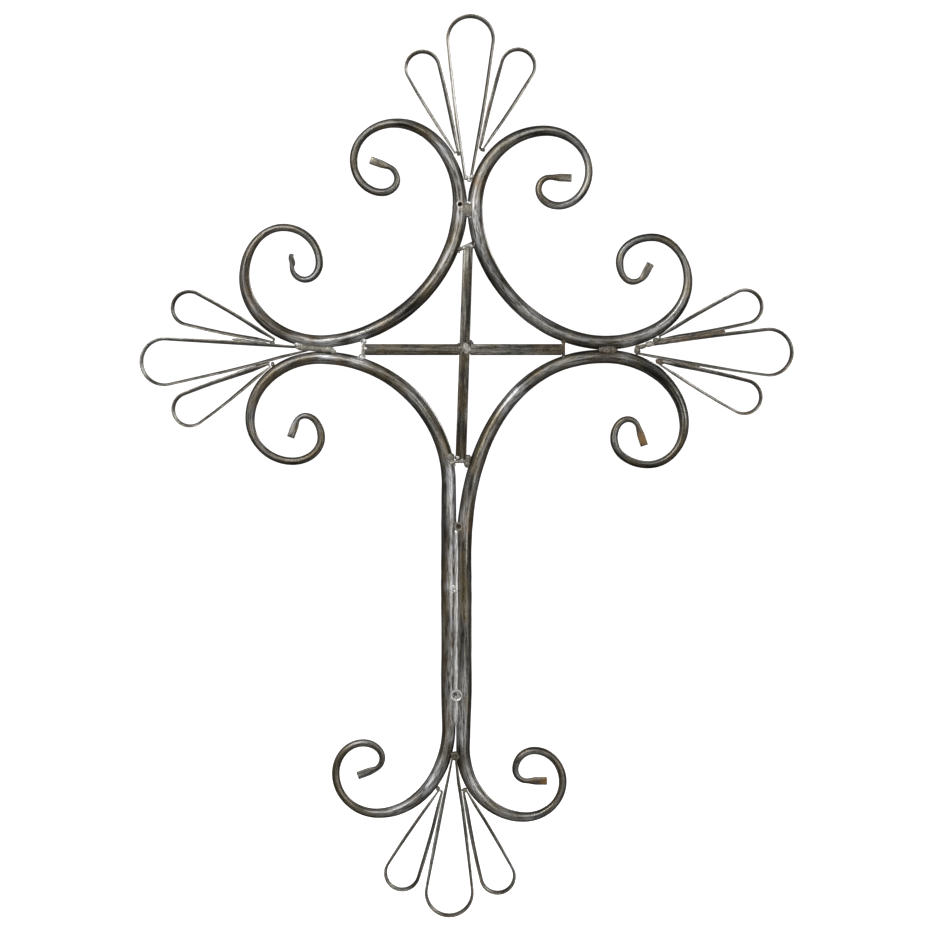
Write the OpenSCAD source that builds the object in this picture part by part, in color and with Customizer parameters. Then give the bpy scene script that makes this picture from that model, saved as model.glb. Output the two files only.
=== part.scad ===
// Wrought iron wall cross.
//
// Four round bars are drawn down at both ends and rolled into scrolls. They lie in pairs along
// the head, the two arms and the shaft, and leave four curved bays between them. A small cross
// of square bar is held in the middle by four short straps, and each end of the large cross
// carries a fan of three petals, each one a flat strip bent to a loop.
//
// Millimetres, +Z up, the front faces -Y and all bars lie in the plane Y = 0. The origin is the
// middle of the hanging hole, in the upper left bar where it meets the upper right bar.

/* [Layout] */
// Hanging hole to the narrowest place of the left arm, across
left_arm = 147; // [125:1:180]
// Hanging hole to the narrowest place of the right arm, across
right_arm = 153; // [130:1:190]
// Hanging hole to the middle line of the arms, down
arm_drop = 152.4; // [127:0.2:184]
// Upper right bar: its upright stretch lies this far below the hanging hole
head_step = 3; // [0:0.5:6]
// Middle line of the arms to the top of the straight shaft, left bar
left_shoulder = 142; // [118:1:172]
// Middle line of the arms to the top of the straight shaft, right bar
right_shoulder = 220; // [182:1:264]
// Length of the straight shaft, left bar
left_shaft = 255; // [210:1:300]
// Length of the straight shaft, right bar
right_shaft = 200; // [165:1:240]
// Hanging hole to the middle of the shaft's left bar, across
shaft_offset = 11.8; // [9.8:0.1:14.2]
// Hanging hole to the middle of the shaft's right bar at its foot, across
right_foot_offset = 3.2; // [2.6:0.1:3.9]
// Middle line of the arms to where the shaft's two bars come together
seam_drop = 186; // [160:1:200]
// Foot of the left bar's straight shaft up to where they part
foot_taper = 36; // [30:1:44]

/* [Round bars] */
// Bar diameter where the shaft's two bars lie together
shaft_d = 15.6; // [13:0.2:19]
// Left bar's diameter at the top of the shaft
left_shoulder_d = 14.2; // [12:0.2:17]
// Bar diameter at the foot of the shaft
foot_d = 13.8; // [12:0.2:17]
// Bar diameter at the head
head_d = 15.4; // [13:0.2:18]
// Bar diameter half way round the lower bays
lower_bay_d = 14.2; // [12:0.2:17]
// Bar diameter half way round the upper bays
upper_bay_d = 15.2; // [13:0.2:18]
// Bar diameter at the narrowest place of the left arm
left_wrist_d = 12.9; // [11:0.1:15.5]
// Bar diameter at the narrowest place of the right arm
right_wrist_d = 14.1; // [12:0.1:16]
// How full the upper left bay is: 2 is a quarter ellipse, more is squarer
upper_left_fullness = 1.9; // [1.7:0.1:2.6]
// Fullness of the upper right bay
upper_right_fullness = 1.9; // [1.7:0.1:2.6]
// Fullness of the lower left bay
lower_left_fullness = 2; // [1.7:0.1:2.6]
// Fullness of the lower right bay
lower_right_fullness = 2.2; // [1.7:0.1:2.6]
// Gap that a weld closes between two pieces
weld_gap = 0.3; // [0.1:0.05:0.5]

/* [Scrolls] */
// Head, left: its four quarter turns from the joint in, each one's size the way it sets out
head_left_along = [86, 44, 34, 16]; // [8:1:125]
// Head, left: quarter turns, size the way each turns to
head_left_across = [68, 39, 30, 14]; // [8:1:125]
// Head, left: radius of the last bend, its turn in degrees, and the straight tip
head_left_tip = [14, 70, 20]; // [8:1:100]
// Head, right: quarter turns, size the way each sets out
head_right_along = [81, 46, 37, 21]; // [8:1:125]
// Head, right: quarter turns, size the way each turns to
head_right_across = [74, 42, 32, 18]; // [8:1:125]
// Head, right: radius of the last bend, its turn in degrees, and the straight tip
head_right_tip = [12, 92, 22]; // [8:1:100]
// Left arm, upper: quarter turns, size the way each sets out
left_upper_along = [80, 51, 38, 18]; // [8:1:125]
// Left arm, upper: quarter turns, size the way each turns to
left_upper_across = [69, 41, 37, 15]; // [8:1:125]
// Left arm, upper: radius of the last bend, its turn in degrees, and the straight tip
left_upper_tip = [14, 88, 13]; // [8:1:100]
// Left arm, lower: quarter turns, size the way each sets out
left_lower_along = [74, 44, 30, 23]; // [8:1:125]
// Left arm, lower: quarter turns, size the way each turns to
left_lower_across = [65, 45, 25, 17]; // [8:1:125]
// Left arm, lower: radius of the last bend, its turn in degrees, and the straight tip
left_lower_tip = [10, 70, 17]; // [8:1:100]
// Right arm, upper: quarter turns, size the way each sets out
right_upper_along = [87, 45, 34, 21]; // [8:1:125]
// Right arm, upper: quarter turns, size the way each turns to
right_upper_across = [66, 38, 26, 14]; // [8:1:125]
// Right arm, upper: radius of the last bend, its turn in degrees, and the straight tip
right_upper_tip = [14, 62, 13]; // [8:1:100]
// Right arm, lower: quarter turns, size the way each sets out
right_lower_along = [83, 42, 36, 20]; // [8:1:125]
// Right arm, lower: quarter turns, size the way each turns to
right_lower_across = [72, 38, 28, 15]; // [8:1:125]
// Right arm, lower: radius of the last bend, its turn in degrees, and the straight tip
right_lower_tip = [11, 72, 21]; // [8:1:100]
// Foot, left: quarter turns, size the way each sets out
foot_left_along = [91, 44, 32, 20]; // [8:1:125]
// Foot, left: quarter turns, size the way each turns to
foot_left_across = [75, 42, 29, 16]; // [8:1:125]
// Foot, left: radius of the last bend, its turn in degrees, and the straight tip
foot_left_tip = [13, 70, 18]; // [8:1:100]
// Foot, right: quarter turns, size the way each sets out
foot_right_along = [72, 40, 33, 20]; // [8:1:125]
// Foot, right: quarter turns, size the way each turns to
foot_right_across = [65, 37, 30, 20]; // [8:1:125]
// Foot, right: radius of the last bend, its turn in degrees, and the straight tip
foot_right_tip = [12, 90, 21]; // [8:1:100]

/* [Drawn-down ends] */
// Width of the flattened tip
tip_w = 7.6; // [6:0.2:10]
// Thickness of the flattened tip
tip_t = 4.2; // [3:0.2:6]
// Tip to the neck behind it
neck_at = 21; // [12:1:26]
// Diameter of the neck
neck_d = 5.4; // [4:0.2:7]
// Tip to where the neck has swollen to the thin iron
thin_from = 56; // [40:1:70]
// Diameter of the thin iron
thin_d = 7.8; // [6:0.2:10]
// Tip to where the thin iron starts to thicken
thin_to = 145; // [110:1:175]
// Tip to where it thickens more slowly
knee_at = 240; // [200:1:280]
// Diameter there
knee_d = 13.2; // [11:0.2:15]
// Tip to where the iron would be as thick as the shaft
full_at = 330; // [290:1:400]

/* [Small cross] */
// Width and depth of the square bar
square_bar = 11.5; // [9:0.5:14]
// Lean of the upright, in degrees
upright_lean = 2; // [-3:0.5:3]
// Hanging hole to the upright, across, at the middle line of the arms
upright_x = 5; // [2:0.5:10]
// Strap thickness
tie_t = 3.2; // [2:0.2:5]
// Strap depth
tie_w = 10; // [6:0.5:14]
// Hanging hole to the middle of the top strap, down
top_tie_drop = 43; // [36:1:50]
// Slope of the top strap, in degrees
top_tie_slope = 26; // [0:1:32]
// Hanging hole to the left strap, across
left_tie_x = 102; // [88:1:116]
// Hanging hole to the right strap, across
right_tie_x = 109; // [94:1:122]
// Middle line of the arms to the foot strap, down
foot_tie_drop = 118; // [100:1:124]

/* [Petals] */
// Thickness of the petal strip
strip_t = 1.8; // [1.2:0.1:2.4]
// Depth of the petal strip, front to back
strip_w = 9; // [6:0.5:13]
// Inside length of a centre petal, for each fan: top, left, right, foot
centre_lengths = [171, 177, 163, 167]; // [120:1:210]
// Inside radius of a centre petal's round end
centre_r = 24; // [18:0.5:30]
// Inside width of each centre petal's base: it is pushed in until it meets the bars
centre_bases = [5.4, 0.6, 6.4, 1.4]; // [0.4:0.2:10]
// Direction of each centre petal against its own axis, in degrees
centre_leans = [-1, 5, -1, -2]; // [-8:1:8]
// Inside length of a small petal
small_length = 112; // [92:1:135]
// Inside radius of a small petal's round end
small_r = 17.5; // [13:0.5:22]
// Inside width of a small petal's base
small_base = 2.4; // [1.6:0.2:5]
// Angles of the small petals against the fan's axis: rows of clockwise and anticlockwise side
small_leans = [[24, 22], [21, 29], [22, 20], [25, 21]]; // [15:1:32]
// Centre petal's foot to each small petal's foot, along the strand, or further where a bar is
// in the way: rows as above
small_tucks = [[34, 30], [39, 44], [27, 25], [39, 39]]; // [20:1:60]
// How far a petal's sides bow outwards
petal_bow = 1.4; // [0:0.1:2]

/* [Hanging] */
// Diameter of the hanging hole
hole_d = 4.5; // [3.5:0.1:6]

/* [Hidden] */

sides = 12;          // corners of a round bar's section
bay_steps = 14;      // stretches that a bay's curve is drawn in
bend_sag = 0.3;      // most that a drawn bend leaves its true arc
petal_arc_steps = 24;
petal_side_steps = 5;

// Where the bars' middle lines stand
head_x = head_d + weld_gap;
left_bar_x = -shaft_offset;
right_bar_x = left_bar_x + shaft_d + weld_gap;
arm_z = -arm_drop;
left_wrist_gap = 2 * (strip_t + weld_gap);
left_spread = (left_wrist_d + left_wrist_gap) / 2;
right_spread = (right_wrist_d + weld_gap) / 2;
left_foot_z = arm_z - left_shoulder - left_shaft;
seam_z = [arm_z - seam_drop, left_foot_z + foot_taper];
right_foot_z = arm_z - right_shoulder - right_shaft;

// A bay: [upright place, arm place, fullness, diameters at upright, half way and arm]
upper_left_bay = [
    [0, 0], [-left_arm, arm_z + left_spread], upper_left_fullness,
    [head_d, upper_bay_d, left_wrist_d],
];
upper_right_bay = [
    [head_x, -head_step], [right_arm, arm_z + right_spread], upper_right_fullness,
    [head_d, upper_bay_d, right_wrist_d],
];
lower_left_bay = [
    [left_bar_x, arm_z - left_shoulder], [-left_arm, arm_z - left_spread], lower_left_fullness,
    [left_shoulder_d, lower_bay_d, left_wrist_d],
];
lower_right_bay = [
    [right_bar_x, arm_z - right_shoulder], [right_arm, arm_z - right_spread], lower_right_fullness,
    [shaft_d, lower_bay_d, right_wrist_d],
];

// ---- Round bars -------------------------------------------------------------------------

// Place on a bay's curve: a = 0 at its upright end, 90 at its arm end
function bay_place(b, a) = [
    b[1][0] + (b[0][0] - b[1][0]) * pow(cos(a), 2 / b[2]),
    b[0][1] + (b[1][1] - b[0][1]) * pow(sin(a), 2 / b[2]),
];

// Diameter of the bar at that place
function bay_dia(b, a) = a < 45
    ? b[3][0] + (b[3][1] - b[3][0]) * a / 45
    : b[3][1] + (b[3][2] - b[3][1]) * (a - 45) / 45;

// The bay as a route of [x, z, width, depth]
function bay_route(b) = [
    for (i = [0:bay_steps]) let (a = 90 * i / bay_steps, p = bay_place(b, a), d = bay_dia(b, a))
        [p[0], p[1], d, d]
];

function bend_steps(r, a) = max(2, ceil(a / (2 * acos(1 - bend_sag / r))));
function axes(h, turn) = [[cos(h), sin(h)], turn * [-sin(h), cos(h)]];

// Quarter turns one after another, from p in direction h: each is a quarter ellipse that sets
// out along h and ends a right angle on, to the left for turn = 1 and to the right for -1
function quarters(p, h, turn, along, across, i = 0) = i == len(along) ? [] :
    let (
        v = axes(h, turn), a = along[i], b = across[i], n = bend_steps(max(a, b), 90),
        row = [
            for (k = [1:n]) let (g = 90 * k / n) p + v[0] * a * sin(g) + v[1] * b * (1 - cos(g))
        ]
    )
    concat(row, quarters(row[n - 1], h + turn * 90, turn, along, across, i + 1));

// The last bend and the straight tip: tip = [radius, turn, length]
function curl_end(p, h, turn, tip) =
    let (
        v = axes(h, turn), n = bend_steps(tip[0], tip[1]), g = h + turn * tip[1],
        row = [
            for (k = [1:n]) let (a = tip[1] * k / n)
                p + tip[0] * (v[0] * sin(a) + v[1] * (1 - cos(a)))
        ]
    )
    concat(row, [for (k = [1:3]) row[n - 1] + tip[2] * k / 3 * [cos(g), sin(g)]]);

// Distance of each place of a route from its last one
function from_tip(p) =
    let (walked = [
        for (i = 0, s = 0; i < len(p);
             s = s + (i + 1 < len(p) ? norm(p[i + 1] - p[i]) : 0), i = i + 1) s
    ])
    [for (s = walked) walked[len(p) - 1] - s];

// Width (column 1) or depth (column 2) of the drawn-down iron at a distance from its tip
drawn_end = [
    [0, tip_w, tip_t], [0.6 * neck_at, tip_w, tip_t], [neck_at, neck_d, neck_d],
    [thin_from, thin_d, thin_d], [thin_to, thin_d, thin_d], [knee_at, knee_d, knee_d],
    [full_at, shaft_d, shaft_d],
];
function drawn(t, column) = lookup(t, [for (r = drawn_end) [r[0], r[column]]]);

// A scroll as a route of [x, z, width, depth], from its joint out to its tip. side_on turns the
// flattened tip so that its edge faces the front.
function scroll_route(p, h, turn, along, across, tip, joint_d, side_on = false) =
    let (
        curl = quarters(p, h, turn, along, across),
        places = concat(curl, curl_end(curl[len(curl) - 1], h + turn * 360, turn, tip)),
        reach = from_tip(places)
    )
    [
        for (i = [0:len(places) - 1])
            let (w = min(joint_d, drawn(reach[i], 1)), d = min(joint_d, drawn(reach[i], 2)))
                [places[i][0], places[i][1], side_on ? d : w, side_on ? w : d]
    ];

function reversed(list) = [for (i = [len(list) - 1:-1:0]) list[i]];
function route_way(r, i) =
    let (a = r[max(i - 1, 0)], b = r[min(i + 1, len(r) - 1)], v = [b[0] - a[0], b[1] - a[1]])
    v / norm(v);

// A solid bar along a route, its section an ellipse of the route's width and depth
module bar(route) {
    rings = len(route);
    points = [
        for (i = [0:rings - 1]) let (w = route_way(route, i))
            for (k = [0:sides - 1]) let (u = route[i][2] / 2 * cos(360 * k / sides))
                [
                    route[i][0] - w[1] * u,
                    route[i][3] / 2 * sin(360 * k / sides),
                    route[i][1] + w[0] * u,
                ]
    ];
    walls = [
        for (i = [0:rings - 2], k = [0:sides - 1])
            let (a = i * sides + k, b = i * sides + (k + 1) % sides)
                for (f = [[a, b, b + sides], [a, b + sides, a + sides]]) f
    ];
    polyhedron(points, concat(
        walls,
        [[for (k = [sides - 1:-1:0]) k]],
        [[for (k = [0:sides - 1]) (rings - 1) * sides + k]]
    ));
}

head_left = scroll_route([0, 0], 90, 1, head_left_along, head_left_across, head_left_tip,
                         head_d);
head_right = scroll_route([head_x, -head_step], 90, -1, head_right_along, head_right_across,
                          head_right_tip, head_d);
left_upper = scroll_route(upper_left_bay[1], 180, -1, left_upper_along, left_upper_across,
                          left_upper_tip, left_wrist_d, side_on = true);
left_lower = scroll_route(lower_left_bay[1], 180, 1, left_lower_along, left_lower_across,
                          left_lower_tip, left_wrist_d);
right_upper = scroll_route(upper_right_bay[1], 0, 1, right_upper_along, right_upper_across,
                           right_upper_tip, right_wrist_d);
right_lower = scroll_route(lower_right_bay[1], 0, -1, right_lower_along, right_lower_across,
                           right_lower_tip, right_wrist_d);
foot_left = scroll_route([left_bar_x, left_foot_z], -90, -1, foot_left_along, foot_left_across,
                         foot_left_tip, foot_d);
foot_right = scroll_route([right_foot_offset, right_foot_z], -90, 1, foot_right_along,
                          foot_right_across, foot_right_tip, foot_d);

module upper_left_scroll() {
    color("#5d5a55")
    difference() {
        bar(concat(reversed(head_left), bay_route(upper_left_bay), left_upper));
        rotate([90, 0, 0]) cylinder(d = hole_d, h = 2 * head_d, center = true, $fn = 48);
    }
}

module upper_right_scroll() {
    color("#5b5852")
    bar(concat(reversed(head_right), bay_route(upper_right_bay), right_upper));
}

module lower_left_scroll() {
    color("#5a5853")
    bar(concat(
        reversed(foot_left), [[left_bar_x, left_foot_z, foot_d, foot_d]],
        [for (i = [1, 0]) [left_bar_x, seam_z[i], shaft_d, shaft_d]],
        bay_route(lower_left_bay), left_lower
    ));
}

module lower_right_scroll() {
    color("#585650")
    bar(concat(
        reversed(foot_right), [[right_foot_offset, right_foot_z, foot_d, foot_d]],
        [[right_bar_x, seam_z[1], shaft_d, shaft_d]],
        bay_route(lower_right_bay), right_lower
    ));
}

// ---- Small cross and its straps ---------------------------------------------------------

// Bay angle of the place at height z, and of the place at distance x
function angle_at_z(b, z) =
    let (v = (z - b[0][1]) / (b[1][1] - b[0][1])) asin(pow(max(0, v), b[2] / 2));
function angle_at_x(b, x) =
    let (u = (x - b[1][0]) / (b[0][0] - b[1][0])) acos(pow(max(0, u), b[2] / 2));

// Edge of the bar at height z, on the side towards the small cross
function edge_x(b, z) =
    let (
        a = angle_at_z(b, z), p = bay_place(b, a), q = bay_place(b, a + 0.5),
        slope = (q[0] - p[0]) / (q[1] - p[1]), to_cross = p[0] < upright_x ? 1 : -1
    )
    p[0] + to_cross * (bay_dia(b, a) / 2 * norm([1, slope]) + weld_gap);

// Edge of the bar at distance x, on the side towards the arms
function edge_z(b, x) =
    let (
        a = angle_at_x(b, x), p = bay_place(b, a), q = bay_place(b, a - 0.5),
        slope = (q[1] - p[1]) / (q[0] - p[0]), to_arm = p[1] > arm_z ? -1 : 1
    )
    p[1] + to_arm * (bay_dia(b, a) / 2 * norm([1, slope]) + weld_gap);

// A flat outline in the X-Z plane, made solid to a depth about Y = 0
module plate(outline, depth) {
    rotate([90, 0, 0]) linear_extrude(height = depth, center = true) polygon(outline);
}

function upright_at(z) = upright_x + (z - arm_z) * tan(upright_lean);
half_bar = square_bar / 2 / cos(upright_lean);

// Middle line of the top strap at distance x
function top_tie_z(x) = -top_tie_drop + (x - upright_at(-top_tie_drop)) * tan(top_tie_slope);
top_tie_half = tie_t / 2 / cos(top_tie_slope);
foot_tie_z = arm_z - foot_tie_drop;

module cross_upright() {
    top_x = upright_at(-top_tie_drop);
    foot_x = upright_at(foot_tie_z);
    seat = foot_tie_z + tie_t / 2 + weld_gap;
    under = top_tie_half + weld_gap;
    right = min(top_x + half_bar, edge_x(upper_right_bay, top_tie_z(top_x + half_bar) - under));
    left = max(top_x - half_bar, edge_x(upper_left_bay, top_tie_z(top_x - half_bar) - under));
    color("#66625a")
    plate([
        [max(foot_x - half_bar, edge_x(lower_left_bay, seat)), seat],
        [min(foot_x + half_bar, edge_x(lower_right_bay, seat)), seat],
        for (x = [right, left]) [x, top_tie_z(x) - under],
    ], square_bar);
}

// One arm of the small cross, from its strap to the side of the upright
module cross_arm(outer_x, side) {
    low = arm_z - square_bar / 2;
    high = arm_z + square_bar / 2;
    inner = half_bar + weld_gap;
    plate([
        [outer_x, low], [upright_at(low) + side * inner, low],
        [upright_at(high) + side * inner, high], [outer_x, high],
    ], square_bar);
}

module cross_left_arm() {
    color("#625e57") cross_arm(-left_tie_x + tie_t / 2 + weld_gap, -1);
}

module cross_right_arm() {
    color("#5f5b54") cross_arm(right_tie_x - tie_t / 2 - weld_gap, 1);
}

// A strap lying across between two bays, each corner against its bar
module top_tie() {
    left_z = top_tie_z(edge_x(upper_left_bay, -top_tie_drop));
    right_z = top_tie_z(edge_x(upper_right_bay, -top_tie_drop));
    color("#4f4a43")
    plate([
        for (c = [[upper_left_bay, left_z - top_tie_half], [upper_right_bay, right_z - top_tie_half],
                  [upper_right_bay, right_z + top_tie_half], [upper_left_bay, left_z + top_tie_half]])
            [edge_x(c[0], c[1]), c[1]],
    ], tie_w);
}

module foot_tie() {
    low = foot_tie_z - tie_t / 2;
    high = foot_tie_z + tie_t / 2;
    color("#4d4841")
    plate([
        [edge_x(lower_left_bay, low), low], [edge_x(lower_right_bay, low), low],
        [edge_x(lower_right_bay, high), high], [edge_x(lower_left_bay, high), high],
    ], tie_w);
}

// A strap standing upright across an arm, between its upper and lower bar
module arm_tie(x, upper, lower) {
    left = x - tie_t / 2;
    right = x + tie_t / 2;
    plate([
        [left, edge_z(lower, left)], [right, edge_z(lower, right)],
        [right, edge_z(upper, right)], [left, edge_z(upper, left)],
    ], tie_w);
}

module left_tie() {
    color("#77736c") arm_tie(-left_tie_x, upper_left_bay, lower_left_bay);
}

module right_tie() {
    color("#4b463f") arm_tie(right_tie_x, upper_right_bay, lower_right_bay);
}

// ---- Petals -----------------------------------------------------------------------------

// A petal lies along +Y from the middle of its base, seen from the front. Angle of its right
// side's outward normal, for half base b, head distance h and head radius r.
function side_normal(b, h, r) = atan2(b, h) - asin(r / norm([b, h]));

// Half width of the outline at its base, t outside the strip's inner face
function base_half(b, n, t) = (b * cos(n) + t + t * sin(n)) / cos(n);

// Right side from the base up to the head, bowed outwards, then the head's right half
function petal_half(b, h, r, t) =
    let (
        n = side_normal(b, h, r), out = [cos(n), sin(n)],
        p = [base_half(b, n, t), -t], q = [0, h] + (r + t) * out
    )
    concat(
        [
            for (k = [0:petal_side_steps - 1]) let (u = k / petal_side_steps)
                p + (q - p) * u + out * petal_bow * 4 * u * (1 - u)
        ],
        [
            for (k = [0:petal_arc_steps / 2]) let (a = n + (90 - n) * k / (petal_arc_steps / 2))
                [0, h] + (r + t) * [cos(a), sin(a)]
        ]
    );

function mirrored(half) = [for (i = [len(half) - 2:-1:0]) [-half[i][0], half[i][1]]];

// One strip bent to a loop: half base b, inside length and head radius r
module petal(b, length, r) {
    inner = petal_half(b, length - r, r, 0);
    outer = petal_half(b, length - r, r, strip_t);
    inner_loop = concat(inner, mirrored(inner));
    outer_loop = concat(outer, mirrored(outer));
    count = len(outer_loop);
    linear_extrude(height = strip_w, center = true)
    polygon(
        concat(outer_loop, inner_loop),
        [[for (i = [0:count - 1]) i], [for (i = [0:count - 1]) count + i]]
    );
}

function side_length(b, h, r) = sqrt(b * b + h * h - r * r);
function bow_at(s, whole) = s < 0 || s > whole ? 0 : petal_bow * 4 * s / whole * (1 - s / whole);
function turned(p, a) = [p[0] * cos(a) - p[1] * sin(a), p[0] * sin(a) + p[1] * cos(a)];

// How far a place p in a petal's own frame lies off its outline
function petal_off(p, b, h, r, n) =
    let (d = [abs(p[0]) - base_half(b, n, strip_t), p[1] + strip_t])
    d[0] > 0 && d * [-sin(n), cos(n)] < 0
        ? norm(d)
        : max(-d[1], d * [cos(n), sin(n)] - bow_at(p[1], side_length(b, h, r)));

// Least room between a bar's route and a petal with its foot at p that points along way
function room(p, way, b, h, r, route) =
    let (n = side_normal(b, h, r)) min([
        for (i = [1:len(route) - 1], k = [0:3])
            let (q = route[i - 1] + (route[i] - route[i - 1]) * k / 4)
                petal_off(turned([q[0] - p[0], q[1] - p[1]], 90 - way), b, h, r, n) - q[2] / 2
    ]);

// Fans: [direction, bar on the anticlockwise side, bar on the clockwise side, row of the lists]
top_fan = [90, concat([[0, 0, head_d, head_d]], head_left),
           concat([[head_x, -head_step, head_d, head_d]], head_right), 0];
left_fan = [180, concat([bay_end(lower_left_bay)], left_lower),
            concat([bay_end(upper_left_bay)], left_upper), 1];
right_fan = [0, concat([bay_end(upper_right_bay)], right_upper),
             concat([bay_end(lower_right_bay)], right_lower), 2];
foot_fan = [270, concat([[right_foot_offset, right_foot_z, foot_d, foot_d]], foot_right),
            concat([[left_bar_x, left_foot_z, foot_d, foot_d]], foot_left), 3];
function bay_end(b) = [b[1][0], b[1][1], b[3][2], b[3][2]];

function centre_way(f) = f[0] + centre_leans[f[3]];
function centre_room(f, p, bar) =
    room(p, centre_way(f), centre_bases[f[3]] / 2, centre_lengths[f[3]] - centre_r, centre_r, f[bar]);

// The centre petal's foot at a distance out from the joint, moved across to the middle between
// the bars
function centred(f, p, rounds = 3) = rounds == 0 ? p :
    centred(f, p + [-sin(f[0]), cos(f[0])] * (centre_room(f, p, 1) - centre_room(f, p, 2)) / 2,
            rounds - 1);
function centre_foot(f, out) = let (a = f[1][0], b = f[2][0])
    centred(f, [a[0] + b[0], a[1] + b[1]] / 2 + out * [cos(f[0]), sin(f[0])]);
function centre_clear(f, out) = let (p = centre_foot(f, out))
    min(centre_room(f, p, 1), centre_room(f, p, 2));

// Least distance out at which the centre petal is a weld gap clear of both bars
function centre_out(f, low = 0, high = 90) = high - low < 0.02 ? high :
    let (out = (low + high) / 2)
    centre_clear(f, out) < weld_gap ? centre_out(f, out, high) : centre_out(f, low, out);

// The small petal's foot and lean in the centre petal's frame, for a tuck along the strand; its
// inner strand is kept a weld gap off the centre petal's
function small_lean(f, side) =
    small_leans[f[3]][side > 0 ? 0 : 1] + side * centre_leans[f[3]];
function small_place(f, side, tuck) =
    let (
        b = centre_bases[f[3]] / 2, h = centre_lengths[f[3]] - centre_r,
        n = side_normal(b, h, centre_r), whole = side_length(b, h, centre_r),
        c = small_base / 2, g = small_length - small_r, m = side_normal(c, g, small_r),
        small_whole = side_length(c, g, small_r), lean = small_lean(f, side),
        clear = weld_gap + max([
            for (s = [0:5:small_whole])
                bow_at(tuck + s, whole) + bow_at(s, small_whole) - s * sin(lean + m + n)
        ]),
        seat = [base_half(b, n, strip_t), -strip_t] + tuck * [-sin(n), cos(n)]
            + clear * [cos(n), sin(n)]
    )
    seat - turned([-base_half(c, m, strip_t), -strip_t], -lean);

// Room between the small petal and the bar on its side
function small_clear(f, side, foot, tuck) =
    let (
        p = small_place(f, side, tuck), way = centre_way(f),
        at = foot + turned([side * p[0], p[1]], way - 90)
    )
    room(at, way - side * small_lean(f, side), small_base / 2, small_length - small_r, small_r,
         f[side > 0 ? 2 : 1]);
function small_tuck(f, side, foot, low, high = 120) =
    high - low < 0.02 || small_clear(f, side, foot, low) >= weld_gap ? low :
    let (tuck = (low + high) / 2)
    small_clear(f, side, foot, tuck) < weld_gap
        ? small_tuck(f, side, foot, tuck, high) : small_tuck(f, side, foot, low, tuck);

module in_fan(f, foot) {
    translate([foot[0], 0, foot[1]]) rotate([90, 0, 0]) rotate([0, 0, centre_way(f) - 90])
    children();
}

module centre_petal(f) {
    color("#6b665c") in_fan(f, centre_foot(f, centre_out(f)))
    petal(centre_bases[f[3]] / 2, centre_lengths[f[3]], centre_r);
}

// side = 1 is the clockwise petal, -1 the anticlockwise one
module small_petal(f, side) {
    foot = centre_foot(f, centre_out(f));
    tuck = small_tuck(f, side, foot, small_tucks[f[3]][side > 0 ? 0 : 1]);
    place = small_place(f, side, tuck);
    color("#67625a") in_fan(f, foot)
    mirror([side > 0 ? 0 : 1, 0, 0])
    translate(place) rotate([0, 0, -small_lean(f, side)])
    petal(small_base / 2, small_length, small_r);
}

module top_petal_centre() { centre_petal(top_fan); }
module top_petal_left() { small_petal(top_fan, -1); }
module top_petal_right() { small_petal(top_fan, 1); }
module left_petal_centre() { centre_petal(left_fan); }
module left_petal_upper() { small_petal(left_fan, 1); }
module left_petal_lower() { small_petal(left_fan, -1); }
module right_petal_centre() { centre_petal(right_fan); }
module right_petal_upper() { small_petal(right_fan, -1); }
module right_petal_lower() { small_petal(right_fan, 1); }
module foot_petal_centre() { centre_petal(foot_fan); }
module foot_petal_left() { small_petal(foot_fan, 1); }
module foot_petal_right() { small_petal(foot_fan, -1); }

upper_left_scroll();
upper_right_scroll();
lower_left_scroll();
lower_right_scroll();
cross_upright();
cross_left_arm();
cross_right_arm();
top_tie();
left_tie();
right_tie();
foot_tie();
top_petal_centre();
top_petal_left();
top_petal_right();
left_petal_centre();
left_petal_upper();
left_petal_lower();
right_petal_centre();
right_petal_upper();
right_petal_lower();
foot_petal_centre();
foot_petal_left();
foot_petal_right();
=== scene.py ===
"""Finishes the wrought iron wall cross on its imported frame.

The four round bars are swept again from the same named sizes, with forged flats, hammer marks and
cut tips. Petals, straps and square bars keep the frame's shapes with eased edges. Weld beads, the
shaft's seam and the studio are added here.
"""
import logging
import math
from dataclasses import dataclass, field
from enum import Enum
from typing import Callable, Sequence

import bmesh
import bpy
from mathutils import Euler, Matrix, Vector, noise


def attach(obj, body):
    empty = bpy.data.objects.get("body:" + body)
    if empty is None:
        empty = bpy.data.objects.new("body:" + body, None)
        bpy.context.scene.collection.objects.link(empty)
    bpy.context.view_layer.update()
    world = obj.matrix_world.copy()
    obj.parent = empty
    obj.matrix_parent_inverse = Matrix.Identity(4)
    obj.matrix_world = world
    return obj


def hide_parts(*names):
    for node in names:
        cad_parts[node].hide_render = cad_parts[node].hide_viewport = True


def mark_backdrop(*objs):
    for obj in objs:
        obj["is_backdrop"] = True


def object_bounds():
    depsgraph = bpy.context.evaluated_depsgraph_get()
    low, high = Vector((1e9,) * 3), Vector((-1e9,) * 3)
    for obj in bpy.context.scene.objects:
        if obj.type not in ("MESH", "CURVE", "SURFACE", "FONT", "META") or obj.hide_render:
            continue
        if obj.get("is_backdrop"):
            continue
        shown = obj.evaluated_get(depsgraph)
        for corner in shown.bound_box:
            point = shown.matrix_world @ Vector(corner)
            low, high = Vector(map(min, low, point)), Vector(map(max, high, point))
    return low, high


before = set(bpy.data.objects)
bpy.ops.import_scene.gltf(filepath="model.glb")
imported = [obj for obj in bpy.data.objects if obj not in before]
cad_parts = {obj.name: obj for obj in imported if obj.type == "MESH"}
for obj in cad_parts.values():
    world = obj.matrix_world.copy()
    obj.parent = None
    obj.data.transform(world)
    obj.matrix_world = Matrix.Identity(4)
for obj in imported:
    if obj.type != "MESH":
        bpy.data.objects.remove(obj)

log = logging.getLogger("wall_cross")

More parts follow.
